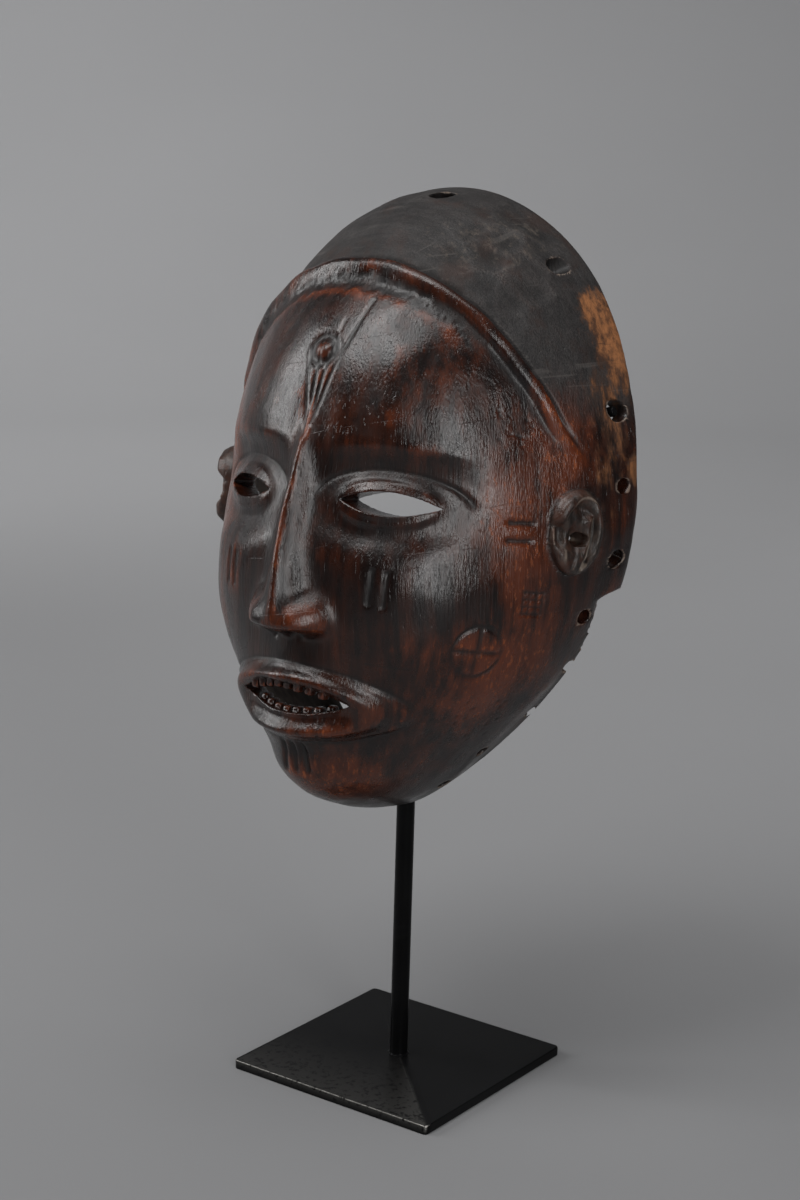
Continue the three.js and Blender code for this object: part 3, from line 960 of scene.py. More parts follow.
@dataclass(frozen=True)
class EarForm:
    """Carved ear: an oval slab on the side wall, turned a little towards the face."""

    up: float = -8.5
    forward: float = 24.8
    width: float = 23.0
    height: float = 33.0
    turn: float = math.radians(27.0)
    proud_left: float = 3.4
    proud_right: float = 6.6
    drill: float = 6.0
    drill_drop: float = 2.6
    drill_turn: float = math.radians(5.0)
    root: float = 3.5

    def proud(self, side: float) -> float:
        """How far the slab stands over the wall on a side, 1 for the left."""
        return self.proud_left if side > 0.0 else self.proud_right

    def carving(self, back: np.ndarray, up: np.ndarray) -> np.ndarray:
        """Height of the ear's folds over the slab.

        Args:
            back: Place from the ear's middle towards the back of the head, 1 at its edge.
            up: Place upwards, 1 at its top.

        Returns:
            Height in millimetres.
        """
        radius = np.hypot(back, up)
        turn = np.degrees(np.arctan2(up, back))
        along = smoothstep(turn, -70.0, -35.0) * (1.0 - smoothstep(turn, 150.0, 172.0))
        helix = 1.5 * smoothstep(radius, 0.58, 0.74) * (1.0 - smoothstep(radius, 0.86, 0.98)) * along
        scapha = -1.7 * bump(back, up, (0.16, 0.58), (0.34, 0.24), 2.0)
        lump = 0.7 * bump(back, up, (-0.36, 0.48), (0.26, 0.32), 1.6)
        line = self.strap_edge(up)
        shaft = smoothstep(up, -0.95, -0.80) * (1.0 - smoothstep(up, 0.30, 0.50))
        strap = smoothstep(back, line - 0.36, line - 0.26)
        strap = 0.9 * strap * (1.0 - smoothstep(back, line - 0.03, line + 0.05))
        groove = -1.3 * np.exp(-np.square((back - line - 0.13) / 0.08))
        bowl = -2.2 * bump(back, up, (-0.06, -0.15), (0.34, 0.30), 1.8)
        notch = -2.3 * (1.0 - smoothstep(back, -0.70, -0.40))
        notch = notch * bump(0.0 * up, up, (0.0, -0.06), (1.0, 0.24), 2.0)
        tragus = 1.9 * np.exp(-np.square((back + 0.90) / 0.07))
        tragus = tragus * (1.0 - smoothstep(np.abs(up + 0.12), 0.14, 0.26))
        lobe = 1.3 * bump(back, up, (-0.45, -0.62), (0.36, 0.25), 2.2) * (0.7 - 0.6 * back)
        return helix + scapha + lump + (strap + groove) * shaft + bowl + notch + tragus + lobe

    @staticmethod
    def strap_edge(up: np.ndarray) -> np.ndarray:
        """Where the back edge of the upright strap behind the hole runs."""
        return 0.42 - 0.36 * np.power(np.clip(-up - 0.05, 0.0, None), 1.3)

    def wear_and_sheen(self, back: np.ndarray, up: np.ndarray) -> np.ndarray:
        """How far hands have rubbed the ear's high edges, 0 to 1; the same values paint a highlight along
        the helix, the strap's edge, the tip and the lobe.

        Args:
            back: Place from the middle towards the back, 1 at the edge.
            up: Place upwards, 1 at the top.

        Returns:
            Wear and painted highlight at each place.
        """
        radius = np.hypot(back, up)
        turn = np.degrees(np.arctan2(up, back))
        along = smoothstep(turn, -20.0, 10.0) * (1.0 - smoothstep(turn, 150.0, 172.0))
        helix = 0.8 * np.exp(-np.square((radius - 0.82) / 0.05)) * along
        shaft = smoothstep(up, -0.92, -0.80) * (1.0 - smoothstep(up, 0.30, 0.45))
        strap = np.exp(-np.square((back - self.strap_edge(up) + 0.03) / 0.035)) * shaft
        tip = bump(back, up, (0.20, -0.78), (0.13, 0.14), 1.5)
        lobe = 0.7 * bump(back, up, (-0.66, -0.5), (0.09, 0.2), 1.5)
        return np.clip(np.maximum.reduce([helix, strap, tip, lobe]), 0.0, 1.0)


@dataclass
class CarvedMask:
    """The mask: one carved shell with ears, teeth, openings and lacing holes."""

    plan: HeadPlan = field(default_factory=HeadPlan)
    roll: HairlineRoll = field(default_factory=HairlineRoll)
    ear_form: EarForm = field(default_factory=EarForm)
    grid: DiscGrid = DiscGrid(198, 240, 0.72)
    hollow_grid: DiscGrid = DiscGrid(66, 80, 0.9)
    adze: Facets = Facets(5, 10.5, 1.35, (1.0, 1.0, 0.85))
    knife: Facets = Facets(8, 8.0, 0.14, (1.0, 1.0, 2.2))
    gouge: Facets = Facets(17, 13.0, 1.6, (1.0, 1.0, 2.2))
    split_limit: float = 0.02
    split_most: int = 6200
    holes: tuple[tuple[float, ...], ...] = (
        (51.0, 14.5, 13.0, -19.0, 0.49),
        (19.0, 7.5, 8.5),
        (5.0, 6.5, 6.0),
        (-8.0, 4.5, 7.5, 12.0),
        (-19.0, 10.0, 6.5),
        (-51.0, 9.0, 5.5),
        (-63.0, 12.0, 5.5),
    )
    top_hole: RimHole = RimHole(88.0, 26.0, 10.0, slant=45.0)
    broken: tuple[tuple[float, float, float], ...] = ((-29.0, 1.0, 6.0), (-40.0, 0.5, 5.0))
    worn_from: float = -11.3
    worn_to: float = -62.0
    worn_start: float = 7.0
    worn_drop: float = 11.6
    worn_fall: float = 9.0
    worn_rise: float = 5.9
    tooth_count: int = 8
    ruddy_places: tuple[tuple[float, tuple[float, float], tuple[float, float]], ...] = (
        (1.0, (72.0, -26.0), (15.0, 32.0)),
        (0.9, (62.0, -60.0), (14.0, 14.0)),
        (1.1, (-66.0, 0.0), (20.0, 60.0)),
        (0.8, (8.0, -112.0), (28.0, 14.0)),
        (0.6, (56.0, -84.0), (16.0, 12.0)),
        (0.6, (78.0, 30.0), (14.0, 30.0)),
        (0.2, (46.0, 40.0), (12.0, 28.0)),
    )

    def __post_init__(self) -> None:
        """Sets out the relief and the marks from the plan."""
        self.relief = FaceRelief(self.plan)
        self.marks = Scarification(self.plan)
        self.skin: np.ndarray = np.zeros((0, 3))
        self.values: dict[Mark, np.ndarray] = {}
        self.lift: np.ndarray = np.zeros((0, 0))

    def build(self) -> bpy.types.Object:
        """Carves the mask.

        Returns:
            The finished object, in metres.
        """
        piece = self.shell()
        combine(piece, ShapeTools.joined("ears", [self.ear(1.0), self.ear(-1.0)]), "UNION")
        combine(piece, ShapeTools.joined("drills", self.cutters()), "DIFFERENCE")
        combine(piece, ShapeTools.joined("worn edge", [self.worn_edge()]), "DIFFERENCE")
        self.soften_cuts(piece.data)
        combine(piece, ShapeTools.joined("teeth", self.teeth()), "UNION")
        self.write_marks(piece.data)
        points = np.empty(len(piece.data.vertices) * 3)
        piece.data.vertices.foreach_get("co", points)
        world = self.plan.to_world(points.reshape(-1, 3))
        piece.data.vertices.foreach_set("co", world.ravel())
        piece.data.polygons.foreach_set("use_smooth", [True] * len(piece.data.polygons))
        piece.data.update()
        return piece

    def rim_power(self, angle: np.ndarray) -> np.ndarray:
        """How quickly cells narrow towards the rim, so that they stay even on the bowl."""
        return self.plan.edge_fullness(np.sin(angle)) / 2.0

    def band_distance(self, points: np.ndarray, normals: np.ndarray) -> np.ndarray:
        """Distance along the surface from the hairline, positive on the face's side."""
        plan = self.plan
        ahead = -points[..., 1] - plan.band_slope * points[..., 2] - plan.band_offset
        way = np.array([0.0, -1.0, -plan.band_slope])
        lift = normals @ way
        along = way - lift[..., None] * normals
        return ahead / np.maximum(np.linalg.norm(along, axis=-1), 0.3)

    def outer_skin(self) -> np.ndarray:
        """Outer skin with all its relief, at every point of the grid.

        Returns:
            Points, in rows.
        """
        plan = self.plan
        disc_x, disc_y = self.grid.places(self.rim_power)
        base = plan.bowl(disc_x, disc_y, 0.0)
        normals = grid_normals(base)
        across, up = base[..., 0], base[..., 2]
        lift = self.relief.broad(across, up) + self.relief.nose(across, up)
        lift = lift + self.relief.lids_and_lips(across, up)
        forward = -base[..., 1]
        near_rim = smoothstep(forward, 0.0, 12.0)
        distance = self.band_distance(base, normals)
        distance = distance + 0.3 * SmoothNoise(11, 24.0).at(base)
        high = smoothstep(up, plan.band_ends_at - 4.0, plan.band_ends_at + 14.0)
        behind = 1.0 - smoothstep(distance, -5.0, -2.5)
        lift = lift - 1.6 * behind * smoothstep(up, 10.0, 40.0)
        skin = base + normals * (lift * near_rim)[..., None]

        normals = grid_normals(skin)
        cove = smoothstep(up - 0.35 * across, 22.0, 78.0)
        ragged = distance + 0.7 * SmoothNoise(33, 7.0, 30).at(base) * smoothstep(distance, 2.0, 6.0)
        fine = self.roll.height(ragged, cove) * high
        grit = self.roll.grit(ragged) * cove * high
        fine += 0.24 * grit * SmoothNoise(31, 1.9, 40).at(base)
        flat, flat_normals = skin.reshape(-1, 3), normals.reshape(-1, 3)
        for patch in self.marks.patches():
            fine += patch.height(flat, flat_normals).reshape(fine.shape)
        fine += self.marks.forehead(across, up)
        fine += self.fine_cuts(across, up)
        crown = (1.0 - smoothstep(distance, -6.0, -3.5)) * smoothstep(up + 0.2 * across, 44.0, 68.0)
        upper = bump(across, up, (34.0, 98.0), (38.0, 30.0))
        chopped = np.clip(0.24 + 0.28 * SmoothNoise(13, 70.0).at(base) + 0.5 * upper, 0.06, 0.85)
        adze = self.adze.height(flat).reshape(fine.shape) - 0.4
        knife = self.knife.height(flat).reshape(fine.shape) - 0.04
        fine += adze * chopped * crown * near_rim + knife * (1.0 - crown)
        fine += 0.14 * SmoothNoise(3, 26.0).at(base)
        fine = fine * smoothstep(forward, 0.0, 4.0)
        self.lift = lift * near_rim + fine
        self.values = self.shape_marks(base, fine, distance, crown, grit)
        return skin + normals * fine[..., None]

    def fine_cuts(self, across: np.ndarray, up: np.ndarray) -> np.ndarray:
        """Crisp cuts of the eyes, the nostrils and the lips.

        Args:
            across: Places across the mask.
            up: Places up the mask.

        Returns:
            Height over the skin.
        """
        plan = self.plan
        side = np.abs(across)
        a = (side - plan.eye_width) / (plan.eye_width / 2.0)
        b = (up - plan.eye_line) / plan.eye_slit
        oval = np.hypot(a * 0.86, b * 0.92)
        crease = -0.7 * np.exp(-np.square((oval - 1.34) / 0.06)) * smoothstep(b, -0.2, 0.5)
        rim = 0.45 * np.exp(-np.square((oval - 0.84) / 0.1))
        brow_line = bump(side, up, (plan.eye_width, plan.eye_line + 21.0), (22.0, 3.4))
        nostril = bump(side, up, (4.6, plan.nose_base + 1.6), (2.6, 2.0), 1.5)
        lips = self.relief.lip_oval(across, up)
        lip_edge = 0.3 * np.exp(-np.square((lips - 1.36) / 0.06))
        lip_edge -= 0.4 * np.exp(-np.square((lips - 1.48) / 0.06))
        return crease + rim + 0.9 * brow_line - 2.4 * nostril + lip_edge

    def shape_marks(
        self,
        base: np.ndarray,
        fine: np.ndarray,
        distance: np.ndarray,
        crown: np.ndarray,
        grit: np.ndarray,
    ) -> dict[Mark, np.ndarray]:
        """Values that the finish reads.

        Args:
            base: Bowl points.
            fine: Fine relief.
            distance: Distance from the hairline.
            crown: 1 behind the hairline.
            grit: 1 in the rough cove of the hairline.

        Returns:
            One value per mark and grid point.
        """
        plan = self.plan
        across, forward, up = base[..., 0], -base[..., 1], base[..., 2]
        near = fine - blur(fine, 5)
        wide = self.lift - blur(self.lift, 18)
        roll = smoothstep(distance, -6.5, -4.0) * (1.0 - smoothstep(distance, 4.0, 10.0))
        roll = roll * smoothstep(up, 24.0, 40.0)
        # Hollows, later darkened as grime and painted shade.
        recess = np.clip(-near * 2.4, 0, 1) + np.clip(-wide * 0.30, 0, 0.8) + 0.8 * grit
        raised = np.clip(near * 2.2, 0, 1) * 0.7 + np.clip(wide * 0.3, 0, 0.8)
        raised = raised * (1.0 - 0.8 * roll)
        patchy = SmoothNoise(21, 38.0).at(base) * 0.22 + SmoothNoise(22, 12.0).at(base) * 0.10
        bare = self.bare_wood(across, forward, up, patchy)
        behind_ear = (1.0 - smoothstep(forward, 14.0, 40.0)) * smoothstep(-up, 30.0, 80.0)
        jaw = smoothstep(-up, plan.chin - 50.0, plan.chin - 10.0) * (1.0 - smoothstep(forward, 34.0, 66.0))
        soot = np.clip(np.maximum(behind_ear * (0.8 + patchy), jaw), 0, 1)
        below_roll = np.exp(-np.square((distance - self.roll.cove_end - 3.0) / 3.6))
        ruddy = 0.6 * below_roll * smoothstep(up, 46.0, 72.0)
        for amount, centre, radii in self.ruddy_places:
            ruddy += amount * bump(across, up, centre, radii)
        ruddy *= 0.35 + 0.65 * smoothstep(forward, 12.0, 36.0)
        ruddy -= 0.9 * bump(across, up, (52.0, -30.0), (22.0, 20.0))
        return {
            Mark.CROWN: crown,
            Mark.EAR: np.zeros_like(crown),
            # Lighter patch on top of the crown: wear and a painted sheen.
            Mark.WORN_AND_SHEEN: 0.42 * crown * bump(across, up, (36.0, 100.0), (34.0, 26.0)),
            Mark.BARE: np.clip(bare, 0, 1),
            Mark.RECESS: np.clip(recess, 0, 1),
            Mark.RAISED: np.clip(raised, 0, 1),
            Mark.SOOT: soot,
            Mark.RUDDY: np.clip(ruddy + 0.25 + 0.5 * patchy, 0, 1),
        }

    def bare_wood(
        self, across: np.ndarray, forward: np.ndarray, up: np.ndarray, patchy: np.ndarray
    ) -> np.ndarray:
        """Where the finish has rubbed off beside the rim, mostly above the left ear.

        Args:
            across: Places across the mask.
            forward: Places in front of the rim's plane.
            up: Places up the mask.
            patchy: Random field that breaks the outline.

        Returns:
            0 on sound finish, 1 on bare wood.
        """
        behind = forward + 9.0 * patchy
        patch = 1.0 * (1.0 - smoothstep(behind, 8.0, 21.0)) * smoothstep(up, 46.0, 64.0)
        patch *= 1.0 - smoothstep(up + 6.0 * patchy, 74.0, 90.0)
        strip = 0.8 * (1.0 - smoothstep(behind, 2.0, 11.0)) * smoothstep(up, 38.0, 54.0)
        strip *= 1.0 - smoothstep(up, 60.0, 84.0)
        streaks = 0.50 * (1.0 - smoothstep(behind, 14.0, 34.0)) * smoothstep(up, -6.0, 22.0)
        streaks *= (1.0 - smoothstep(up, 48.0, 66.0)) * (0.6 + 0.4 * smoothstep(behind, 2.0, 10.0))
        low = 0.34 * (1.0 - smoothstep(behind, 4.0, 20.0)) * smoothstep(-up, -16.0, 20.0)
        low *= 1.0 - smoothstep(-up, 60.0, 100.0)
        chip = 1.3 * bump(forward, up, (0.5, 17.0), (4.0, 7.0), 2.0)
        bare = np.maximum.reduce([patch, strip, streaks, low, chip])
        return bare * (0.3 + 0.7 * smoothstep(across, 20.0, 60.0))

    def hollow_skin(self) -> np.ndarray:
        """Inner skin, which follows the broad forms and shows the gouge.

        Returns:
            Points, in rows.
        """
        disc_x, disc_y = self.hollow_grid.places(self.rim_power)
        base = self.plan.bowl(disc_x, disc_y, self.plan.wall)
        normals = grid_normals(base)
        across, up = base[..., 0], base[..., 2]
        lift = self.relief.broad(across, up) + 0.35 * self.relief.nose(across, up)
        near_rim = smoothstep(-base[..., 1], 0.0, 12.0)
        gouge = self.gouge.height(base.reshape(-1, 3)).reshape(lift.shape)
        cut = (gouge - 0.5) * smoothstep(-base[..., 1], 3.0, 14.0)
        return base + normals * (lift * near_rim - cut)[..., None]

    def shell(self) -> bpy.types.Object:
        """Closed shell of both skins and the rounded rim between them.

        Returns:
            The object, in millimetres.
        """
        plan = self.plan
        outer = self.outer_skin().reshape(-1, 3)
        inner = self.hollow_skin().reshape(-1, 3)
        border, inner_border = self.grid.border(), self.hollow_grid.border()
        disc_x, disc_y = self.grid.places(self.rim_power)
        angle = np.arctan2(disc_y.ravel()[border], disc_x.ravel()[border])
        uneven = 0.45 * SmoothNoise(41, 30.0).at(outer[border])
        uneven += 0.12 * SmoothNoise(42, 7.0).at(outer[border])
        round_edge = 1.3

        def rim_ring(inset: float, forward: float) -> np.ndarray:
            """Ring of the rim at an inset and a distance in front of its plane."""
            across, up = plan.rim(angle, inset)
            return np.stack([across, plan.rim_back(np.sin(angle)) - forward - 0.6 - uneven, up], axis=1)

        outer[border] = rim_ring(0.0, round_edge)
        rings = [
            rim_ring(0.4, 0.4),
            rim_ring(round_edge, 0.0),
            rim_ring(plan.wall - round_edge, 0.0),
            rim_ring(plan.wall - 0.4, 0.4),
        ]
        ratio = len(border) // len(inner_border)
        inner[inner_border] = rim_ring(plan.wall, round_edge)[::ratio]
        faces = self.grid.faces(self.grid.split(self.lift, self.split_limit, self.split_most))
        outer_count = len(faces)
        count = len(border)
        first = len(outer)
        loop = border
        for _ in rings:
            following = list(range(first, first + count))
            faces += band(loop, following)
            loop, first = following, first + count
        faces += self.stitch(loop, [first + corner for corner in inner_border], ratio)
        faces += [tuple(first + corner for corner in face) for face in self.hollow_grid.faces()]
        points = np.concatenate([outer, *rings, inner])
        used = np.unique(np.concatenate([np.array(face) for face in faces]))
        number = np.zeros(len(points), dtype=int)
        number[used] = np.arange(len(used))
        faces = [tuple(number[list(face)].tolist()) for face in faces]
        piece = new_object("carved_mask", points[used], faces)
        for finish in (PatinaWood(), HollowWood(), ToothWood()):
            piece.data.materials.append(finish.material())
        indices = np.ones(len(faces), dtype=np.int32)
        indices[:outer_count] = 0
        piece.data.polygons.foreach_set("material_index", indices)
        face_outward(piece.data)
        self.skin = outer
        return piece

    @staticmethod
    def stitch(fine: list[int], coarse: list[int], ratio: int) -> Faces:
        """Faces between a fine loop and a coarser one.

        Args:
            fine: Points of the fine loop.
            coarse: Points of the coarse loop.
            ratio: Fine points for each coarse one.

        Returns:
            The faces.
        """
        faces: Faces = []
        middle = (ratio + 1) // 2
        for k, corner in enumerate(coarse):
            after = coarse[(k + 1) % len(coarse)]
            run = [fine[(k * ratio + j) % len(fine)] for j in range(ratio + 1)]
            faces += [(run[j], run[j + 1], corner) for j in range(middle)]
            faces.append((run[middle], after, corner))
            faces += [(run[j], run[j + 1], after) for j in range(middle, ratio)]
        return faces

    def wall_at(self, forward: float, up: float) -> float:
        """How far out the side wall stands at a depth and height."""
        angle = math.atan2(up, self.plan.half_width)
        radius = np.linspace(0.3, 1.0, 400)
        points = self.plan.bowl(radius * math.cos(angle), radius * math.sin(angle), 0.0)
        return float(points[np.argmin(np.abs(-points[:, 1] - forward)), 0])

    def surface_back(self, across: float, up: float) -> float:
        """How far back the carved face lies at a place seen from the front."""
        gap = np.square(self.skin[:, 0] - across) + np.square(self.skin[:, 2] - up)
        return float(self.skin[int(np.argmin(gap)), 1])

    def ear(self, side: float) -> Shape:
        """Ear as a closed form that is rooted in the wall.

        Args:
            side: 1 for the mask's left, -1 for its right.

        Returns:
            Points and faces.
        """
        form = self.ear_form
        grid = DiscGrid(26, 36, 0.95)
        disc_a, disc_b = grid.places()
        radius = np.minimum(1.0, np.hypot(disc_a, disc_b))
        reach = form.width / 2.0 * math.cos(form.turn)
        ends = [self.wall_at(form.forward + way * reach, form.up) for way in (1.0, -1.0)]
        middle = np.array([sum(ends) / 2.0, -form.forward, form.up])
        backward = np.array([math.sin(form.turn), math.cos(form.turn), 0.0])
        outward = np.array([math.cos(form.turn), -math.sin(form.turn), 0.0])
        upward = np.array([0.0, 0.0, 1.0])
        height = form.proud(side) + form.carving(disc_a, disc_b)
        rough = SmoothNoise(51 + int(side), 7.0, 30)
        height = height + 0.22 * rough.at(np.stack([disc_a * 12.0, disc_b * 17.0, 0.0 * disc_a], axis=-1))
        height = height - 1.6 * np.power(radius, 9.0)
        lopsided = 1.0 + 0.06 * disc_b - 0.04 * disc_a * disc_b
        flat = (
            middle
            + (disc_a * lopsided * form.width / 2.0)[..., None] * backward
            + (disc_b * form.height / 2.0)[..., None] * upward
        )
        face = (flat + height[..., None] * outward).reshape(-1, 3)
        faces = grid.faces(np.ones((grid.rows, grid.columns), dtype=bool))
        border = self.fine_border(grid)
        rim = flat.reshape(-1, 3)[border]
        over_wall = np.array([point[0] - self.wall_at(-point[1], point[2]) for point in rim])
        roots = rim - (over_wall * outward[0] + form.root)[:, None] * outward
        layers = [face] + [face[border] * (1.0 - t) + roots * t for t in (0.33, 0.66, 1.0)]
        count = len(border)
        loop, first = border, len(face)
        for _ in range(3):
            following = list(range(first, first + count))
            faces += [face[::-1] for face in band(loop, following)]
            loop, first = following, first + count
        layers.append(roots.mean(axis=0, keepdims=True))
        faces += [(loop[k], first, loop[(k + 1) % count]) for k in range(count)]
        points = np.concatenate(layers) * np.array([side, 1.0, 1.0])
        return points, faces

    @staticmethod
    def fine_border(grid: DiscGrid) -> list[int]:
        """Every border point of a grid, once round from the first corner."""
        width, depth = 2 * grid.columns + 1, 2 * grid.rows + 1
        bottom = list(range(width - 1))
        right = [j * width + width - 1 for j in range(depth - 1)]
        top = [(depth - 1) * width + i for i in range(width - 1, 0, -1)]
        left = [j * width for j in range(depth - 1, 0, -1)]
        return bottom + right + top + left

    def cutters(self) -> list[Shape]:
        """Eye slits, mouth, lacing holes and ear drills.

        Returns:
            Points and faces of each cutter.
        """
        plan = self.plan
        before_face, length, steps = 110.0, 90.0, 75
        way = np.array([0.0, 1.0, 0.0])
        eye = ShapeTools.almond(plan.eye_width, plan.eye_slit)
        mouth = ShapeTools.almond(plan.mouth_width, plan.mouth_open, 56)
        openings = (
            (eye, plan.eye_width, plan.eye_line),
            (eye, -plan.eye_width, plan.eye_line),
            (mouth, 0.0, plan.mouth_line),
        )
        shapes = [
            ShapeTools.tube(outline, np.array([across, -before_face, up]), way, length, steps)
            for outline, across, up in openings
        ]
        rim_holes = [RimHole(*hole, side=side) for hole in self.holes for side in (1.0, -1.0)]
        rim_holes += [self.top_hole] + [RimHole(*hole) for hole in self.broken]
        shapes += [hole.drill(plan, 60 + number) for number, hole in enumerate(rim_holes)]
        ear = self.ear_form
        half_length = 18.0
        for side in (1.0, -1.0):
            out = np.array([side * math.cos(ear.drill_turn), -math.sin(ear.drill_turn), 0.0])
            ring = ShapeTools.round_ring(out, ear.drill / 2.0, 24, 90 + int(side))
            wall = side * self.wall_at(ear.forward, ear.up)
            start = np.array([wall, -ear.forward, ear.up - ear.drill_drop]) - out * half_length
            shapes.append(ShapeTools.tube(ring, start, out, 2.0 * half_length, 30))
        return shapes

    def worn_edge(self) -> Shape:
        """Wood that has worn off the lower left edge of the rim.

        Returns:
            Points and faces of what is cut away.
        """
        plan = self.plan
        ends = [np.array(plan.rim(np.array(math.radians(turn)))) for turn in (self.worn_from, self.worn_to)]
        centre = (ends[0] + ends[1]) / 2.0
        half_up = abs(ends[0][1] - ends[1][1]) / 2.0
        corners = [(-1, -1), (1, -1), (1, 1), (-1, 1)]
        steps = 90
        layers = []
        for k in range(steps + 1):
            t = (k / steps) ** 1.6
            up = centre[1] + half_up * (1.0 - 2.0 * t)
            below = 2.0 * half_up * t
            fall = float(smoothstep(np.array((below / self.worn_fall) ** 1.6), 0.0, 1.0))
            rise = float(smoothstep(np.array(below), self.worn_fall, self.worn_fall + 25.0))
            wave = 0.5 * math.sin(11.0 * t) * rise
            edge = self.worn_start - self.worn_drop * fall + self.worn_rise * rise + wave
            layers.append([(centre[0] + 12.0 + 40.0 * a, edge if b < 0 else 16.0, up) for a, b in corners])
        return np.array(layers).reshape(-1, 3), capped_rings(len(corners), steps + 1)

    def teeth(self) -> list[Shape]:
        """Rows of worn peg teeth on the inner edge of both lips.

        Returns:
            Points and faces of each tooth.
        """
        plan = self.plan
        draw = np.random.default_rng(7)
        pitch = plan.mouth_width * 0.72 / self.tooth_count
        shapes = []
        for row in (1.0, -1.0):
            for i in range(self.tooth_count):
                across = (i - (self.tooth_count - 1) / 2.0) * pitch
                edge = plan.mouth_open / 2.0 * (1.0 - (across / (plan.mouth_width / 2.0)) ** 2)
                back = self.surface_back(across, plan.mouth_line + row * (edge + 3.0)) + 4.6
                sizes = np.array([3.3, 5.0, 6.2]) * draw.uniform(0.9, 1.04, 3) / 2.0
                middle = np.array([across, back, plan.mouth_line + row * (edge + 0.6)])
                shapes.append(self.peg(middle, sizes))
        return shapes

    @staticmethod
    def peg(middle: np.ndarray, half_sizes: np.ndarray) -> Shape:
        """Block with softly rounded faces, as a ball pushed towards a box.

        Args:
            middle: Middle of the block.
            half_sizes: Half its width, depth and height.

        Returns:
            Points and faces.
        """
        across_count, up_count = 20, 12
        turn = circle(across_count)
        tilt = np.linspace(-math.pi / 2.0, math.pi / 2.0, up_count + 1)[1:-1]

        def squared(value: np.ndarray) -> np.ndarray:
            """Sine or cosine pushed towards a square wave."""
            return np.sign(value) * np.power(np.abs(value), 0.45)

        body = [
            np.stack(
                [squared(np.cos(turn)) * squared(np.cos(t)), squared(np.sin(turn)) * squared(np.cos(t)),
                 np.full(across_count, squared(np.sin(t)))],
                axis=1,
            )
            for t in tilt
        ]
        points = np.concatenate(body + [np.array([[0, 0, -1.0], [0, 0, 1.0]])])
        rings = len(tilt)
        faces = ring_faces(across_count, rings)
        bottom, top = rings * across_count, rings * across_count + 1
        last = (rings - 1) * across_count
        for i in range(across_count):
            j = (i + 1) % across_count
            faces.append((j, i, bottom))
            faces.append((last + i, last + j, top))
        return points * half_sizes + middle, faces

    @staticmethod
    def soften_cuts(mesh: bpy.types.Mesh) -> None:
        """Rounds the edges that the cuts left, as years of handling do.

        Args:
            mesh: Mesh in millimetres.
        """
        work = bmesh.new()
        work.from_mesh(mesh)
        bmesh.ops.remove_doubles(work, verts=work.verts, dist=0.02)
        sharp = math.radians(32.0)
        chosen = set()
        for edge in work.edges:
            if len(edge.link_faces) == 2 and edge.calc_face_angle(0.0) > sharp:
                chosen.update(edge.verts)
        near = set(chosen)
        for vert in chosen:
            near.update(edge.other_vert(vert) for edge in vert.link_edges)
        for _ in range(3):
            bmesh.ops.smooth_vert(
                work, verts=list(near), factor=0.5, use_axis_x=True, use_axis_y=True, use_axis_z=True
            )
        work.to_mesh(mesh)
        work.free()

    @staticmethod
    def sharpness(mesh: bpy.types.Mesh) -> np.ndarray:
        """How sharply a surface bends.

        Args:
            mesh: Mesh in millimetres.

        Returns:
            Bend at each vertex, per millimetre, above 0 on edges and below 0 in hollows.
        """
        count = len(mesh.vertices)
        places, normals = np.empty(count * 3), np.empty(count * 3)
        mesh.vertices.foreach_get("co", places)
        mesh.vertices.foreach_get("normal", normals)
        places, normals = places.reshape(-1, 3), normals.reshape(-1, 3)
        ends = np.empty(len(mesh.edges) * 2, dtype=np.int32)
        mesh.edges.foreach_get("vertices", ends)
        first, second = ends.reshape(-1, 2).T
        way = places[second] - places[first]
        square = np.maximum(np.sum(way * way, axis=1), 0.01)
        here = np.clip(-2.0 * np.sum(way * normals[first], axis=1) / square, -2.0, 2.0)
        there = np.clip(2.0 * np.sum(way * normals[second], axis=1) / square, -2.0, 2.0)
        number = np.maximum(np.bincount(first, minlength=count) + np.bincount(second, minlength=count), 1)
        bend = (np.bincount(first, here, count) + np.bincount(second, there, count)) / number
        for _ in range(2):
            around = np.bincount(first, bend[second], count) + np.bincount(second, bend[first], count)
            bend = 0.5 * (bend + around / number)
        return bend

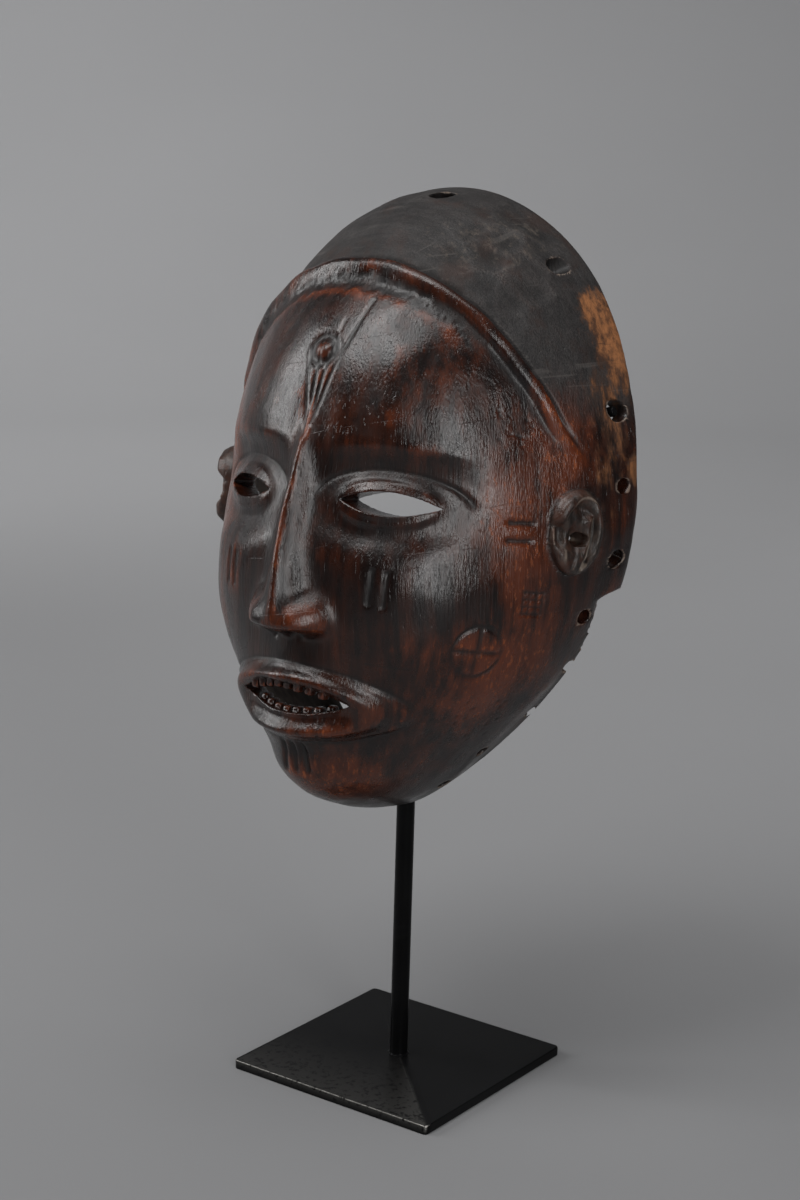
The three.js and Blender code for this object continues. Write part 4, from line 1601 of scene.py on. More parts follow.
    def write_marks(self, mesh: bpy.types.Mesh) -> None:
        """Gives every vertex the shape values of the nearest skin point and its own wear, which on edges
        also holds a painted highlight.

        Args:
            mesh: Mesh in millimetres.
        """
        tree = KDTree(len(self.skin))
        for index, point in enumerate(self.skin):
            tree.insert(point, index)
        tree.balance()
        found = [tree.find(vertex.co) for vertex in mesh.vertices]
        nearest = np.array([item[1] for item in found])
        apart = smoothstep(np.array([item[2] for item in found]), 0.15, 0.7)
        places = np.array([vertex.co for vertex in mesh.vertices])
        form = self.ear_form
        aside = np.hypot((places[:, 1] + form.forward) / form.width, (places[:, 2] - form.up) / form.height)
        ear = apart * (aside < 0.75) * (np.abs(places[:, 0]) > self.plan.half_width - 22.0)
        back = (places[:, 1] + form.forward) / (math.cos(form.turn) * form.width / 2.0)
        rise = (places[:, 2] - form.up) / (form.height / 2.0)
        bend = self.sharpness(mesh)
        skin = {mark: values.ravel()[nearest] for mark, values in self.values.items()}
        on_skin, off_ear = 1.0 - apart, 1.0 - ear
        cut = apart * off_ear * (places[:, 1] > -32.0)
        burnt = cut * skin[Mark.CROWN]
        at_rim = 1.0 - smoothstep(-places[:, 1], 14.0, 26.0)
        # Sharp edges at the rim and on the ears go lighter: wear and a painted edge highlight.
        edge = smoothstep(bend, 0.12, 0.6) * np.maximum(at_rim, 0.6 * ear)
        # Facet ridges of the crown, which the finish paints lighter as a highlight.
        chopped = smoothstep(bend, 0.06, 0.22) * skin[Mark.CROWN]
        layered = {
            Mark.WORN_AND_SHEEN: [skin[Mark.WORN_AND_SHEEN] * on_skin, edge, ear * form.wear_and_sheen(back, rise)],
            Mark.BARE: [skin[Mark.BARE] * off_ear, 0.26 * (cut - burnt)],
            Mark.SOOT: [skin[Mark.SOOT] * off_ear, 0.35 * cut, 0.95 * burnt],
            Mark.RAISED: [skin[Mark.RAISED] * on_skin, smoothstep(bend, 0.12, 0.7), chopped],
            Mark.RECESS: [skin[Mark.RECESS] * on_skin, 0.9 * smoothstep(-bend, 0.1, 0.6), burnt],
        }
        final = {mark: np.maximum.reduce(layers) for mark, layers in layered.items()}
        final[Mark.EAR] = ear
        final[Mark.CROWN] = skin[Mark.CROWN] - burnt
        for mark, values in {**skin, **final}.items():
            layer = mesh.attributes.new(mark.value, "FLOAT", "POINT")
            layer.data.foreach_set("value", values.astype(np.float32))


class NodeCanvas:
    """Adds and links shader nodes in one tree."""

    def __init__(self, tree: bpy.types.NodeTree) -> None:
        """Keeps the tree that the nodes go into."""
        self.tree = tree

    def add(
        self, kind: str, inputs: dict[str | int, object] | None = None, **settings: object
    ) -> bpy.types.Node:
        """Adds one node.

        Args:
            kind: Type of the node.
            inputs: Sockets to link or values to set, by input name or number.
            settings: Properties of the node.

        Returns:
            The node.
        """
        node = self.tree.nodes.new(kind)
        for name, value in settings.items():
            setattr(node, name, value)
        for name, value in (inputs or {}).items():
            if isinstance(value, bpy.types.NodeSocket):
                self.tree.links.new(value, node.inputs[name])
            elif isinstance(value, tuple) and len(value) == 3 and node.inputs[name].type == "RGBA":
                node.inputs[name].default_value = (*value, 1.0)
            else:
                node.inputs[name].default_value = value
        return node

    def math(self, operation: str, a: object, b: object = 0.0, clamp: bool = False) -> bpy.types.NodeSocket:
        """Value of a sum of two values or sockets."""
        return self.add("ShaderNodeMath", {0: a, 1: b}, operation=operation, use_clamp=clamp).outputs[0]

    def mix(self, factor: object, a: object, b: object, blend: str = "MIX") -> bpy.types.NodeSocket:
        """Mix of two colours."""
        node = self.add("ShaderNodeMix", {0: factor}, data_type="RGBA", blend_type=blend)
        for number, value in ((6, a), (7, b)):
            if isinstance(value, bpy.types.NodeSocket):
                self.tree.links.new(value, node.inputs[number])
            else:
                node.inputs[number].default_value = (*value, 1.0)
        return node.outputs[2]

    def scaled(self, value: object, amount: object, clamp: bool = False) -> bpy.types.NodeSocket:
        """Value times an amount."""
        return self.math("MULTIPLY", value, amount, clamp)

    def add_up(self, start: object, *parts: tuple[float, object]) -> bpy.types.NodeSocket:
        """Start plus every part times its own amount."""
        total = start
        for amount, value in parts:
            total = self.math("ADD", total, self.scaled(value, amount))
        return total

    def noise(
        self,
        vector: object,
        scale: object,
        detail: float = 3.0,
        roughness: float = 0.5,
        stretch: Colour | None = None,
    ) -> bpy.types.NodeSocket:
        """Fractal noise from 0 to 1, drawn out where the vector is scaled down along an axis.

        Args:
            vector: Where the noise is read.
            scale: Fineness.
            detail: Octaves.
            roughness: Share of the finer octaves.
            stretch: Scale along each axis.

        Returns:
            Value of the noise.
        """
        if stretch:
            vector = self.stretch(vector, stretch)
        inputs = {"Vector": vector, "Scale": scale, "Detail": detail, "Roughness": roughness}
        return self.add("ShaderNodeTexNoise", inputs).outputs["Fac"]

    def ramp(
        self, value: object, low: float, high: float, bottom: float = 0.0, top: float = 1.0
    ) -> bpy.types.NodeSocket:
        """Smooth ramp between two values, flat outside them."""
        inputs = {"Value": value, "From Min": low, "From Max": high, "To Min": bottom, "To Max": top}
        node = self.add("ShaderNodeMapRange", inputs, interpolation_type="SMOOTHSTEP", clamp=True)
        return node.outputs["Result"]

    def stretch(self, vector: object, scale: Colour) -> bpy.types.NodeSocket:
        """Vector scaled along each axis."""
        return self.add("ShaderNodeMapping", {"Vector": vector, "Scale": scale}).outputs[0]

    def bump(self, height: object, strength: float, distance: float) -> bpy.types.NodeSocket:
        """Normal of a relief, with its depth in metres."""
        inputs = {"Height": height, "Strength": strength, "Distance": distance}
        return self.add("ShaderNodeBump", inputs).outputs[0]

    def mark(self, mark: Mark) -> bpy.types.NodeSocket:
        """Shape value kept at the vertices."""
        return self.add("ShaderNodeAttribute", attribute_name=mark.value).outputs["Fac"]


class EffectGroup:
    """Shader effect as a node group, built once and placed in many materials."""

    title = "effect"
    sockets_in: tuple[tuple[str, str, float], ...] = ()
    sockets_out: tuple[tuple[str, str], ...] = ()

    def tree(self) -> bpy.types.NodeTree:
        """Node tree of the group.

        Returns:
            The tree, made at the first call.
        """
        found = bpy.data.node_groups.get(self.title)
        if found:
            return found
        tree = bpy.data.node_groups.new(self.title, "ShaderNodeTree")
        for name, kind, value in self.sockets_in:
            socket = tree.interface.new_socket(name, in_out="INPUT", socket_type=kind)
            if kind == "NodeSocketFloat":
                socket.default_value = value
        for name, kind in self.sockets_out:
            tree.interface.new_socket(name, in_out="OUTPUT", socket_type=kind)
        source = tree.nodes.new("NodeGroupInput")
        target = tree.nodes.new("NodeGroupOutput")
        for name, socket in self.wire(NodeCanvas(tree), source.outputs).items():
            tree.links.new(socket, target.inputs[name])
        return tree

    def wire(self, canvas: NodeCanvas, given: bpy.types.NodeOutputs) -> dict[str, bpy.types.NodeSocket]:
        """Nodes of the effect.

        Args:
            canvas: Where the nodes go.
            given: Sockets of the group's inputs.

        Returns:
            Socket for each output name.
        """
        raise NotImplementedError

    def place(self, canvas: NodeCanvas, inputs: dict[str, object]) -> bpy.types.NodeOutputs:
        """Puts the group in a material.

        Args:
            canvas: Canvas of the material.
            inputs: Sockets or values by input name.

        Returns:
            Its outputs.
        """
        node = canvas.tree.nodes.new("ShaderNodeGroup")
        node.node_tree = self.tree()
        for name, value in inputs.items():
            if isinstance(value, bpy.types.NodeSocket):
                canvas.tree.links.new(value, node.inputs[name])
            else:
                node.inputs[name].default_value = value
        return node.outputs


class WoodFibre(EffectGroup):
    """Fibres and pores of a hardwood whose grain runs up the mask."""

    title = "wood fibre"
    sockets_in = (("Vector", "NodeSocketVector", 0.0), ("Fineness", "NodeSocketFloat", 1.0))
    sockets_out = (
        ("Streak", "NodeSocketFloat"),
        ("Fibre", "NodeSocketFloat"),
        ("Pores", "NodeSocketFloat"),
    )

    def wire(self, canvas: NodeCanvas, given: bpy.types.NodeOutputs) -> dict[str, bpy.types.NodeSocket]:
        """Nodes of the fibres.

        Args:
            canvas: Where the nodes go.
            given: Sockets of the group's inputs.

        Returns:
            Socket for each output name.
        """
        fineness = given["Fineness"]
        bend = canvas.noise(given["Vector"], 14.0, 2.0)
        sway = canvas.add("ShaderNodeCombineXYZ", {"X": canvas.scaled(bend, 0.012)}).outputs[0]
        swayed = canvas.add("ShaderNodeVectorMath", {0: given["Vector"], 1: sway}).outputs[0]
        streak = canvas.noise(swayed, canvas.scaled(fineness, 230.0), 5.0, 0.62, (1.0, 1.0, 0.07))
        fibre = canvas.noise(swayed, canvas.scaled(fineness, 1500.0), 2.0, 0.6, (1.0, 1.0, 0.03))
        pores = canvas.scaled(fineness, 900.0)
        pores = canvas.noise(swayed, pores, 1.0, stretch=(1.0, 1.0, 0.1))
        return {"Streak": streak, "Fibre": fibre, "Pores": canvas.ramp(pores, 0.66, 0.74)}


class Handling(EffectGroup):
    """Where hands have rubbed a surface, and where its hollows are darkened with grime and painted shade.
    """

    title = "handling"
    sockets_in = (
        ("Vector", "NodeSocketVector", 0.0),
        ("Raised", "NodeSocketFloat", 0.0),
        ("Recess", "NodeSocketFloat", 0.0),
        ("Patch", "NodeSocketFloat", 30.0),
        ("Amount", "NodeSocketFloat", 0.5),
    )
    sockets_out = (("Rubbed", "NodeSocketFloat"), ("Grime_and_shade", "NodeSocketFloat"))

    def wire(self, canvas: NodeCanvas, given: bpy.types.NodeOutputs) -> dict[str, bpy.types.NodeSocket]:
        """Nodes of rubbing, and of grime and painted shade in hollows.

        Args:
            canvas: Where the nodes go.
            given: Sockets of the group's inputs.

        Returns:
            Socket for each output name.
        """
        patch = canvas.noise(given["Vector"], given["Patch"], 4.0, 0.55)
        speck = canvas.noise(given["Vector"], canvas.scaled(given["Patch"], 9.0), 3.0, 0.6)
        height = canvas.math("SUBTRACT", given["Raised"], canvas.scaled(given["Recess"], 1.2))
        lifted = canvas.add_up(canvas.scaled(patch, 0.8), (0.35, speck), (0.35, height))
        level = canvas.math("ADD", lifted, canvas.math("SUBTRACT", given["Amount"], 0.5))
        # Hollows darkened: grime and painted shade.
        grime_and_shade = canvas.scaled(given["Recess"], canvas.ramp(speck, 0.2, 0.6, 0.6, 1.0))
        return {"Rubbed": canvas.ramp(level, 0.55, 0.85), "Grime_and_shade": grime_and_shade}


class Scratches(EffectGroup):
    """Thin light scratches in a few directions."""

    title = "scratches"
    sockets_in = (("Vector", "NodeSocketVector", 0.0), ("Scale", "NodeSocketFloat", 60.0))
    sockets_out = (("Scratch", "NodeSocketFloat"),)

    def wire(self, canvas: NodeCanvas, given: bpy.types.NodeOutputs) -> dict[str, bpy.types.NodeSocket]:
        """Nodes of the scratches.

        Args:
            canvas: Where the nodes go.
            given: Sockets of the group's inputs.

        Returns:
            Socket for each output name.
        """
        total: bpy.types.NodeSocket | float = 0.0
        for turn, tilt in ((0.5, 1.1), (-0.7, 0.4), (1.4, -0.8), (0.1, 0.2)):
            turned = canvas.add(
                "ShaderNodeMapping",
                {"Vector": given["Vector"], "Rotation": (0.4 * tilt, tilt, turn)},
            ).outputs[0]
            line = canvas.noise(turned, given["Scale"], 2.0, 0.5, (0.03, 0.03, 1.0))
            off_line = canvas.math("ABSOLUTE", canvas.math("SUBTRACT", line, 0.5))
            thin = canvas.ramp(off_line, 0.0, 0.009, 1.0, 0.0)
            length = canvas.scaled(given["Scale"], 1.3)
            part = canvas.noise(turned, length, 1.0, stretch=(0.5, 0.5, 2.0))
            total = canvas.math("ADD", total, canvas.scaled(thin, canvas.ramp(part, 0.60, 0.66)))
        return {"Scratch": canvas.math("MINIMUM", total, 1.0)}


@dataclass(frozen=True)
class Finish:
    """A material that is built from nodes."""

    title: str = "finish"

    def material(self) -> bpy.types.Material:
        """Material of the finish, made at the first call.

        Returns:
            The material.
        """
        found = bpy.data.materials.get(self.title)
        if found:
            return found
        material = bpy.data.materials.new(self.title)
        material.use_nodes = True
        tree = material.node_tree
        tree.nodes.clear()
        canvas = NodeCanvas(tree)
        shader = tree.nodes.new("ShaderNodeBsdfPrincipled")
        output = tree.nodes.new("ShaderNodeOutputMaterial")
        tree.links.new(shader.outputs[0], output.inputs["Surface"])
        self.wire(canvas, shader)
        return material

    def wire(self, canvas: NodeCanvas, shader: bpy.types.Node) -> None:
        """Nodes that feed the shader."""
        raise NotImplementedError

    @staticmethod
    def place(canvas: NodeCanvas) -> bpy.types.NodeSocket:
        """Position on the object, in metres."""
        return canvas.add("ShaderNodeTexCoord").outputs["Object"]

    @staticmethod
    def feed(canvas: NodeCanvas, shader: bpy.types.Node, **sockets: object) -> None:
        """Links or sets shader inputs; underscores in the names stand for spaces."""
        for name, value in sockets.items():
            target = shader.inputs[name.replace("_", " ")]
            if isinstance(value, bpy.types.NodeSocket):
                canvas.tree.links.new(value, target)
            else:
                target.default_value = value


@dataclass(frozen=True)
class PatinaWood(Finish):
    """Dark oiled hardwood, rubbed red in places, charcoal on the crown, bare at the rim, with painted
    highlights on edges and painted shade with grime in hollows.
    """

    title: str = "patina wood"
    dark: Colour = (0.0080, 0.0038, 0.0031)
    warm: Colour = (0.050, 0.0132, 0.0060)
    red: Colour = (0.138, 0.030, 0.0095)
    # Near black of grime and painted shade in hollows.
    fleck: Colour = (0.31, 0.075, 0.018)
    grime_and_shade: Colour = (0.0048, 0.0036, 0.0034)
    charcoal: Colour = (0.0150, 0.0136, 0.0136)
    charcoal_light: Colour = (0.056, 0.051, 0.049)
    charcoal_red: Colour = (0.040, 0.019, 0.013)
    # Light grey of scratches, also the painted highlight on the crown's facet ridges.
    scratch_and_ridge_sheen: Colour = (0.15, 0.135, 0.125)
    bare: Colour = (0.38, 0.150, 0.052)
    bare_dark: Colour = (0.062, 0.025, 0.0115)
    ear: Colour = (0.078, 0.056, 0.044)
    ear_dark: Colour = (0.016, 0.0115, 0.0092)
    ear_red: Colour = (0.075, 0.030, 0.018)
    # Light grey-tan of rubbed edges, also the painted highlight on the ears, the rim edges and the crown's
    # top.
    worn: Colour = (0.31, 0.245, 0.195)
    # Near black of soot, also used as painted shade in the ear's crevices.
    soot: Colour = (0.0075, 0.0062, 0.0058)

    def wire(self, canvas: NodeCanvas, shader: bpy.types.Node) -> None:
        """Nodes that feed the shader.

        Args:
            canvas: Canvas of the material.
            shader: The principled shader.
        """
        place = self.place(canvas)
        wood = WoodFibre().place(canvas, {"Vector": place, "Fineness": 1.0})
        hands = Handling().place(
            canvas,
            {
                "Vector": canvas.stretch(place, (1.0, 1.0, 0.55)),
                "Raised": canvas.mark(Mark.RAISED),
                "Recess": canvas.mark(Mark.RECESS),
                "Patch": 26.0,
                "Amount": 0.44,
            },
        )
        lines = Scratches().place(canvas, {"Vector": place, "Scale": 62.0})
        crown, ear, soot = (canvas.mark(mark) for mark in (Mark.CROWN, Mark.EAR, Mark.SOOT))
        tooled = canvas.noise(place, 420.0, 3.0, 0.6, (0.12, 1.0, 0.5))
        grain = canvas.noise(place, 1400.0, 3.0, 0.7)

        colour, fleck = self.polished(canvas, place, wood, hands)
        burnt = self.burnt(canvas, place, lines, tooled, grain)
        colour = canvas.mix(canvas.scaled(crown, 0.95), colour, burnt)
        bare, bare_tone = self.rubbed_bare(canvas, place, wood["Streak"])
        colour = canvas.mix(bare, colour, bare_tone)
        mottle = canvas.noise(place, 300.0, 4.0, 0.65, (1.0, 1.0, 0.4))
        ear_tone = canvas.mix(canvas.ramp(mottle, 0.42, 0.66), self.ear_dark, self.ear)
        brown = canvas.ramp(canvas.noise(place, 130.0, 3.0, 0.6), 0.46, 0.60)
        ear_tone = canvas.mix(canvas.scaled(brown, 0.75), ear_tone, self.ear_red)
        # Ear crevices go near black: grime and painted shade.
        ear_tone = canvas.mix(canvas.scaled(canvas.mark(Mark.RECESS), 0.7), ear_tone, self.soot)
        colour = canvas.mix(canvas.scaled(ear, 0.8), colour, ear_tone)
        colour = canvas.mix(canvas.scaled(soot, 0.85), colour, self.soot)
        # Rubbed edges and the crown's top go light grey-tan: wear and a painted highlight.
        rubbed = canvas.math("ADD", canvas.mark(Mark.WORN_AND_SHEEN), canvas.math("SUBTRACT", mottle, 0.5))
        rubbed = canvas.scaled(canvas.ramp(rubbed, 0.35, 0.95), 0.75)
        colour = canvas.mix(rubbed, colour, self.worn)

        blotch = canvas.noise(place, 120.0, 4.0, 0.6, (1.0, 1.0, 0.4))
        rough = canvas.ramp(blotch, 0.3, 0.7, 0.17, 0.30)
        duller = ((0.38, crown), (0.36, bare), (0.22, hands["Grime_and_shade"]), (0.14, ear), (0.20, rubbed))
        rough = canvas.math("MINIMUM", canvas.add_up(rough, *duller, (0.10, soot)), 0.85)
        normal = self.surface(canvas, place, wood, lines, crown, fleck, tooled, grain)
        coat = canvas.math("SUBTRACT", 0.2, canvas.scaled(crown, 0.2), clamp=True)
        self.feed(canvas, shader, Base_Color=colour, Roughness=rough, Normal=normal, Coat_Weight=coat)
        self.feed(canvas, shader, Coat_Roughness=0.2)

    def polished(
        self,
        canvas: NodeCanvas,
        place: bpy.types.NodeSocket,
        wood: bpy.types.NodeOutputs,
        hands: bpy.types.NodeOutputs,
    ) -> tuple[bpy.types.NodeSocket, bpy.types.NodeSocket]:
        """Oiled face: near black, with red streaks and orange flecks where it is rubbed, and grime with
        painted shade in its hollows.

        Args:
            canvas: Canvas of the material.
            place: Position on the object.
            wood: Outputs of the fibre group.
            hands: Outputs of the handling group.

        Returns:
            Colour, and where the orange flecks are.
        """
        broad = canvas.noise(place, 34.0, 4.0, 0.6)
        tone = canvas.add_up(canvas.scaled(wood["Streak"], 0.7), (0.6, broad))
        colour = canvas.mix(canvas.ramp(tone, 0.50, 0.86), self.dark, self.warm)
        ruddy = canvas.scaled(canvas.mark(Mark.RUDDY), 0.5)
        worn = canvas.add_up(ruddy, (0.3, hands["Rubbed"]))
        spread = canvas.math("ADD", worn, canvas.math("SUBTRACT", tone, 0.72))
        colour = canvas.mix(canvas.ramp(spread, 0.10, 0.58), colour, self.red)
        chips = canvas.noise(place, 760.0, 5.0, 0.68, (1.0, 1.0, 0.3))
        chips = canvas.add_up(chips, (0.15, worn))
        near = canvas.ramp(spread, 0.15, 0.55)
        fleck = canvas.scaled(canvas.ramp(chips, 0.61, 0.71), near, clamp=True)
        colour = canvas.mix(fleck, colour, self.fleck)
        # Hollows darkened: grime and painted shade.
        grime_and_shade = canvas.scaled(hands["Grime_and_shade"], 0.85, clamp=True)
        return canvas.mix(grime_and_shade, colour, self.grime_and_shade), fleck

    def burnt(
        self,
        canvas: NodeCanvas,
        place: bpy.types.NodeSocket,
        lines: bpy.types.NodeOutputs,
        tooled: bpy.types.NodeSocket,
        grain: bpy.types.NodeSocket,
    ) -> bpy.types.NodeSocket:
        """Matt charcoal of the crown, with a painted highlight on its facet ridges and painted shade with
        grime in its hollows.

        Args:
            canvas: Canvas of the material.
            place: Position on the object.
            lines: Outputs of the scratch group.
            tooled: Long fine tool marks.
            grain: Fine grain.

        Returns:
            Colour.
        """
        patch = canvas.noise(place, 85.0, 6.0, 0.7)
        level = canvas.add_up(canvas.scaled(patch, 0.45), (0.35, tooled), (0.75, grain))
        matt = canvas.mix(canvas.ramp(level, 0.60, 0.98), self.charcoal, self.charcoal_light)
        rusty = canvas.noise(place, 48.0, 5.0, 0.65, (1.0, 1.0, 0.6))
        rusty = canvas.scaled(canvas.ramp(rusty, 0.50, 0.68), 0.7)
        matt = canvas.mix(rusty, matt, self.charcoal_red)
        # Facet ridges painted lighter, as a highlight.
        edges = canvas.ramp(canvas.mark(Mark.RAISED), 0.3, 1.0)
        edges = canvas.scaled(canvas.scaled(edges, canvas.ramp(grain, 0.4, 0.6)), 0.34)
        light = canvas.math("MAXIMUM", canvas.scaled(lines["Scratch"], 0.3), edges)
        # Hollows of the crown painted darker: grime and painted shade.
        dark = canvas.scaled(canvas.mark(Mark.RECESS), 0.7)
        matt = canvas.mix(dark, matt, self.grime_and_shade)
        return canvas.mix(light, matt, self.scratch_and_ridge_sheen)

    def rubbed_bare(
        self, canvas: NodeCanvas, place: bpy.types.NodeSocket, streak: bpy.types.NodeSocket
    ) -> tuple[bpy.types.NodeSocket, bpy.types.NodeSocket]:
        """Bare wood with a ragged, streaky outline.

        Args:
            canvas: Canvas of the material.
            place: Position on the object.
            streak: Streaks of the wood.

        Returns:
            Where it is bare, and its colour there.
        """
        spots = canvas.noise(place, 95.0, 6.0, 0.72, (1.0, 1.0, 0.45))
        threads = canvas.noise(place, 420.0, 4.0, 0.65, (1.0, 1.0, 0.09))
        edge = canvas.mark(Mark.BARE)
        for amount, value in ((0.9, streak), (1.1, spots), (0.5, threads)):
            edge = canvas.add_up(edge, (amount, canvas.math("SUBTRACT", value, 0.5)))
        bare = canvas.ramp(edge, 0.26, 0.86)
        smudge = canvas.noise(place, 62.0, 6.0, 0.68, (1.0, 1.0, 0.7))
        deep = canvas.math("SUBTRACT", edge, 0.8)
        level = canvas.add_up(canvas.scaled(threads, 0.55), (0.75, smudge), (0.22, deep))
        tone = canvas.mix(canvas.ramp(level, 0.50, 0.84), self.bare_dark, self.bare)
        across_grain = canvas.noise(place, 380.0, 3.0, 0.6, (0.10, 0.10, 1.0))
        crack = canvas.ramp(across_grain, 0.64, 0.72)
        return bare, canvas.mix(canvas.scaled(crack, 0.55), tone, self.bare_dark)

    @staticmethod
    def surface(
        canvas: NodeCanvas,
        place: bpy.types.NodeSocket,
        wood: bpy.types.NodeOutputs,
        lines: bpy.types.NodeOutputs,
        crown: bpy.types.NodeSocket,
        fleck: bpy.types.NodeSocket,
        tooled: bpy.types.NodeSocket,
        grain: bpy.types.NodeSocket,
    ) -> bpy.types.NodeSocket:
        """Fine relief: fibres and pores on the face, tool marks and grain on the crown.

        Args:
            canvas: Canvas of the material.
            place: Position on the object.
            wood: Outputs of the fibre group.
            lines: Outputs of the scratch group.
            crown: 1 on the crown.
            fleck: Where the finish has flaked.
            tooled: Long fine tool marks.
            grain: Fine grain.

        Returns:
            Normal.
        """
        flaws = ((-0.8, wood["Pores"]), (-0.3, lines["Scratch"]), (-0.3, fleck))
        height = canvas.add_up(canvas.scaled(wood["Fibre"], 1.3), (0.9, wood["Streak"]), *flaws)
        rough = canvas.scaled(canvas.noise(place, 330.0, 5.0, 0.65), 1.6)
        rugged = canvas.add_up(rough, (1.3, tooled), (0.9, grain))
        share = canvas.ramp(canvas.math("MAXIMUM", crown, canvas.mark(Mark.EAR)), 0.0, 1.0, 0.1, 1.0)
        height = canvas.math("ADD", height, canvas.scaled(rugged, share))
        return canvas.bump(height, 0.62, 0.00024)


@dataclass(frozen=True)
class HollowWood(Finish):
    """Raw carved wood of the inside and the rim, grey-brown with use."""

    title: str = "hollow wood"
    light: Colour = (0.17, 0.115, 0.078)
    dark: Colour = (0.045, 0.027, 0.019)
    soot: Colour = (0.012, 0.010, 0.009)

    def wire(self, canvas: NodeCanvas, shader: bpy.types.Node) -> None:
        """Nodes that feed the shader.

        Args:
            canvas: Canvas of the material.
            shader: The principled shader.
        """
        place = self.place(canvas)
        wood = WoodFibre().place(canvas, {"Vector": place, "Fineness": 0.8})
        cloud = canvas.noise(place, 30.0, 4.0)
        tone = canvas.add_up(canvas.scaled(wood["Streak"], 0.8), (0.5, cloud))
        colour = canvas.mix(canvas.ramp(tone, 0.45, 0.85), self.dark, self.light)
        soot = canvas.scaled(canvas.mark(Mark.SOOT), 0.8)
        colour = canvas.mix(soot, colour, self.soot)
        colour = canvas.mix(canvas.scaled(wood["Pores"], 0.6), colour, self.soot)
        height = canvas.math("ADD", canvas.scaled(wood["Fibre"], 0.6), wood["Streak"])
        height = canvas.math("ADD", height, canvas.noise(place, 400.0, 3.0))
        normal = canvas.bump(height, 0.6, 0.0003)
        rough = canvas.ramp(tone, 0.4, 0.9, 0.78, 0.6)
        self.feed(canvas, shader, Base_Color=colour, Roughness=rough, Normal=normal)


@dataclass(frozen=True)
class ToothWood(Finish):
    """Dull worn wood of the peg teeth."""

    title: str = "tooth wood"
    light: Colour = (0.13, 0.095, 0.07)
    dark: Colour = (0.035, 0.022, 0.017)

    def wire(self, canvas: NodeCanvas, shader: bpy.types.Node) -> None:
        """Nodes that feed the shader.

        Args:
            canvas: Canvas of the material.
            shader: The principled shader.
        """
        place = self.place(canvas)
        wood = WoodFibre().place(canvas, {"Vector": place, "Fineness": 1.6})
        tone = canvas.add_up(canvas.scaled(wood["Streak"], 0.6), (0.5, canvas.noise(place, 240.0)))
        colour = canvas.mix(canvas.ramp(tone, 0.35, 0.75), self.dark, self.light)
        normal = canvas.bump(tone, 0.4, 0.0003)
        rough = canvas.ramp(tone, 0.3, 0.8, 0.42, 0.6)
        self.feed(canvas, shader, Base_Color=colour, Roughness=rough, Normal=normal)


@dataclass(frozen=True)
class BlackSteel(Finish):
    """Satin black finish on steel, rubbed to metal on the edges; on the foot's front edge the bare metal is
    also a painted catch light.
    """

    title: str = "black steel"
    black: Colour = (0.0040, 0.0040, 0.0043)
    dusty: Colour = (0.0070, 0.0070, 0.0073)
    scuff: Colour = (0.05, 0.05, 0.05)
    # Bare steel of rubbed edges, also the painted catch light on the foot's front edge.
    metal: Colour = (0.30, 0.29, 0.27)

    def wire(self, canvas: NodeCanvas, shader: bpy.types.Node) -> None:
        """Nodes that feed the shader.

        Args:
            canvas: Canvas of the material.
            shader: The principled shader.
        """
        place = self.place(canvas)
        raised = canvas.mark(Mark.RAISED)
        hands = Handling().place(
            canvas, {"Vector": place, "Raised": raised, "Recess": 0.0, "Patch": 70.0, "Amount": 0.2}
        )
        lines = Scratches().place(canvas, {"Vector": place, "Scale": 35.0})
        spotty = canvas.ramp(canvas.noise(place, 420.0, 3.0, 0.6), 0.32, 0.50)
        # Bare metal on the edges: wear, and on the foot's front edge a painted catch light.
        worn = canvas.scaled(canvas.ramp(raised, 0.35, 0.9), spotty, clamp=True)
        cloud = canvas.ramp(canvas.noise(place, 28.0, 3.0), 0.35, 0.7)
        colour = canvas.mix(cloud, self.black, self.dusty)
        colour = canvas.mix(canvas.scaled(lines["Scratch"], 0.05), colour, self.scuff)
        colour = canvas.mix(worn, colour, self.metal)
        rough = canvas.add_up(canvas.ramp(cloud, 0.0, 1.0, 0.30, 0.34), (-0.02, hands["Rubbed"]))
        height = canvas.add_up(canvas.noise(place, 900.0, 2.0), (-0.3, lines["Scratch"]))
        normal = canvas.bump(height, 0.015, 0.0001)
        self.feed(canvas, shader, Base_Color=colour, Roughness=rough, Normal=normal)
        self.feed(canvas, shader, Specular_IOR_Level=0.08)
        self.feed(canvas, shader, Metallic=canvas.scaled(worn, 0.9))


@dataclass(frozen=True)
class PaperGround(Finish):
    """Plain pale matt ground and backdrop."""

    title: str = "paper ground"
    tone: Colour = (0.30, 0.30, 0.306)

    def wire(self, canvas: NodeCanvas, shader: bpy.types.Node) -> None:
        """Nodes that feed the shader."""
        place = self.place(canvas)
        shade = canvas.ramp(canvas.noise(place, 2.0, 3.0), 0.3, 0.7, 0.0, 1.0)
        colour = canvas.mix(shade, self.tone, tuple(0.97 * part for part in self.tone))
        self.feed(canvas, shader, Base_Color=colour, Roughness=0.85)


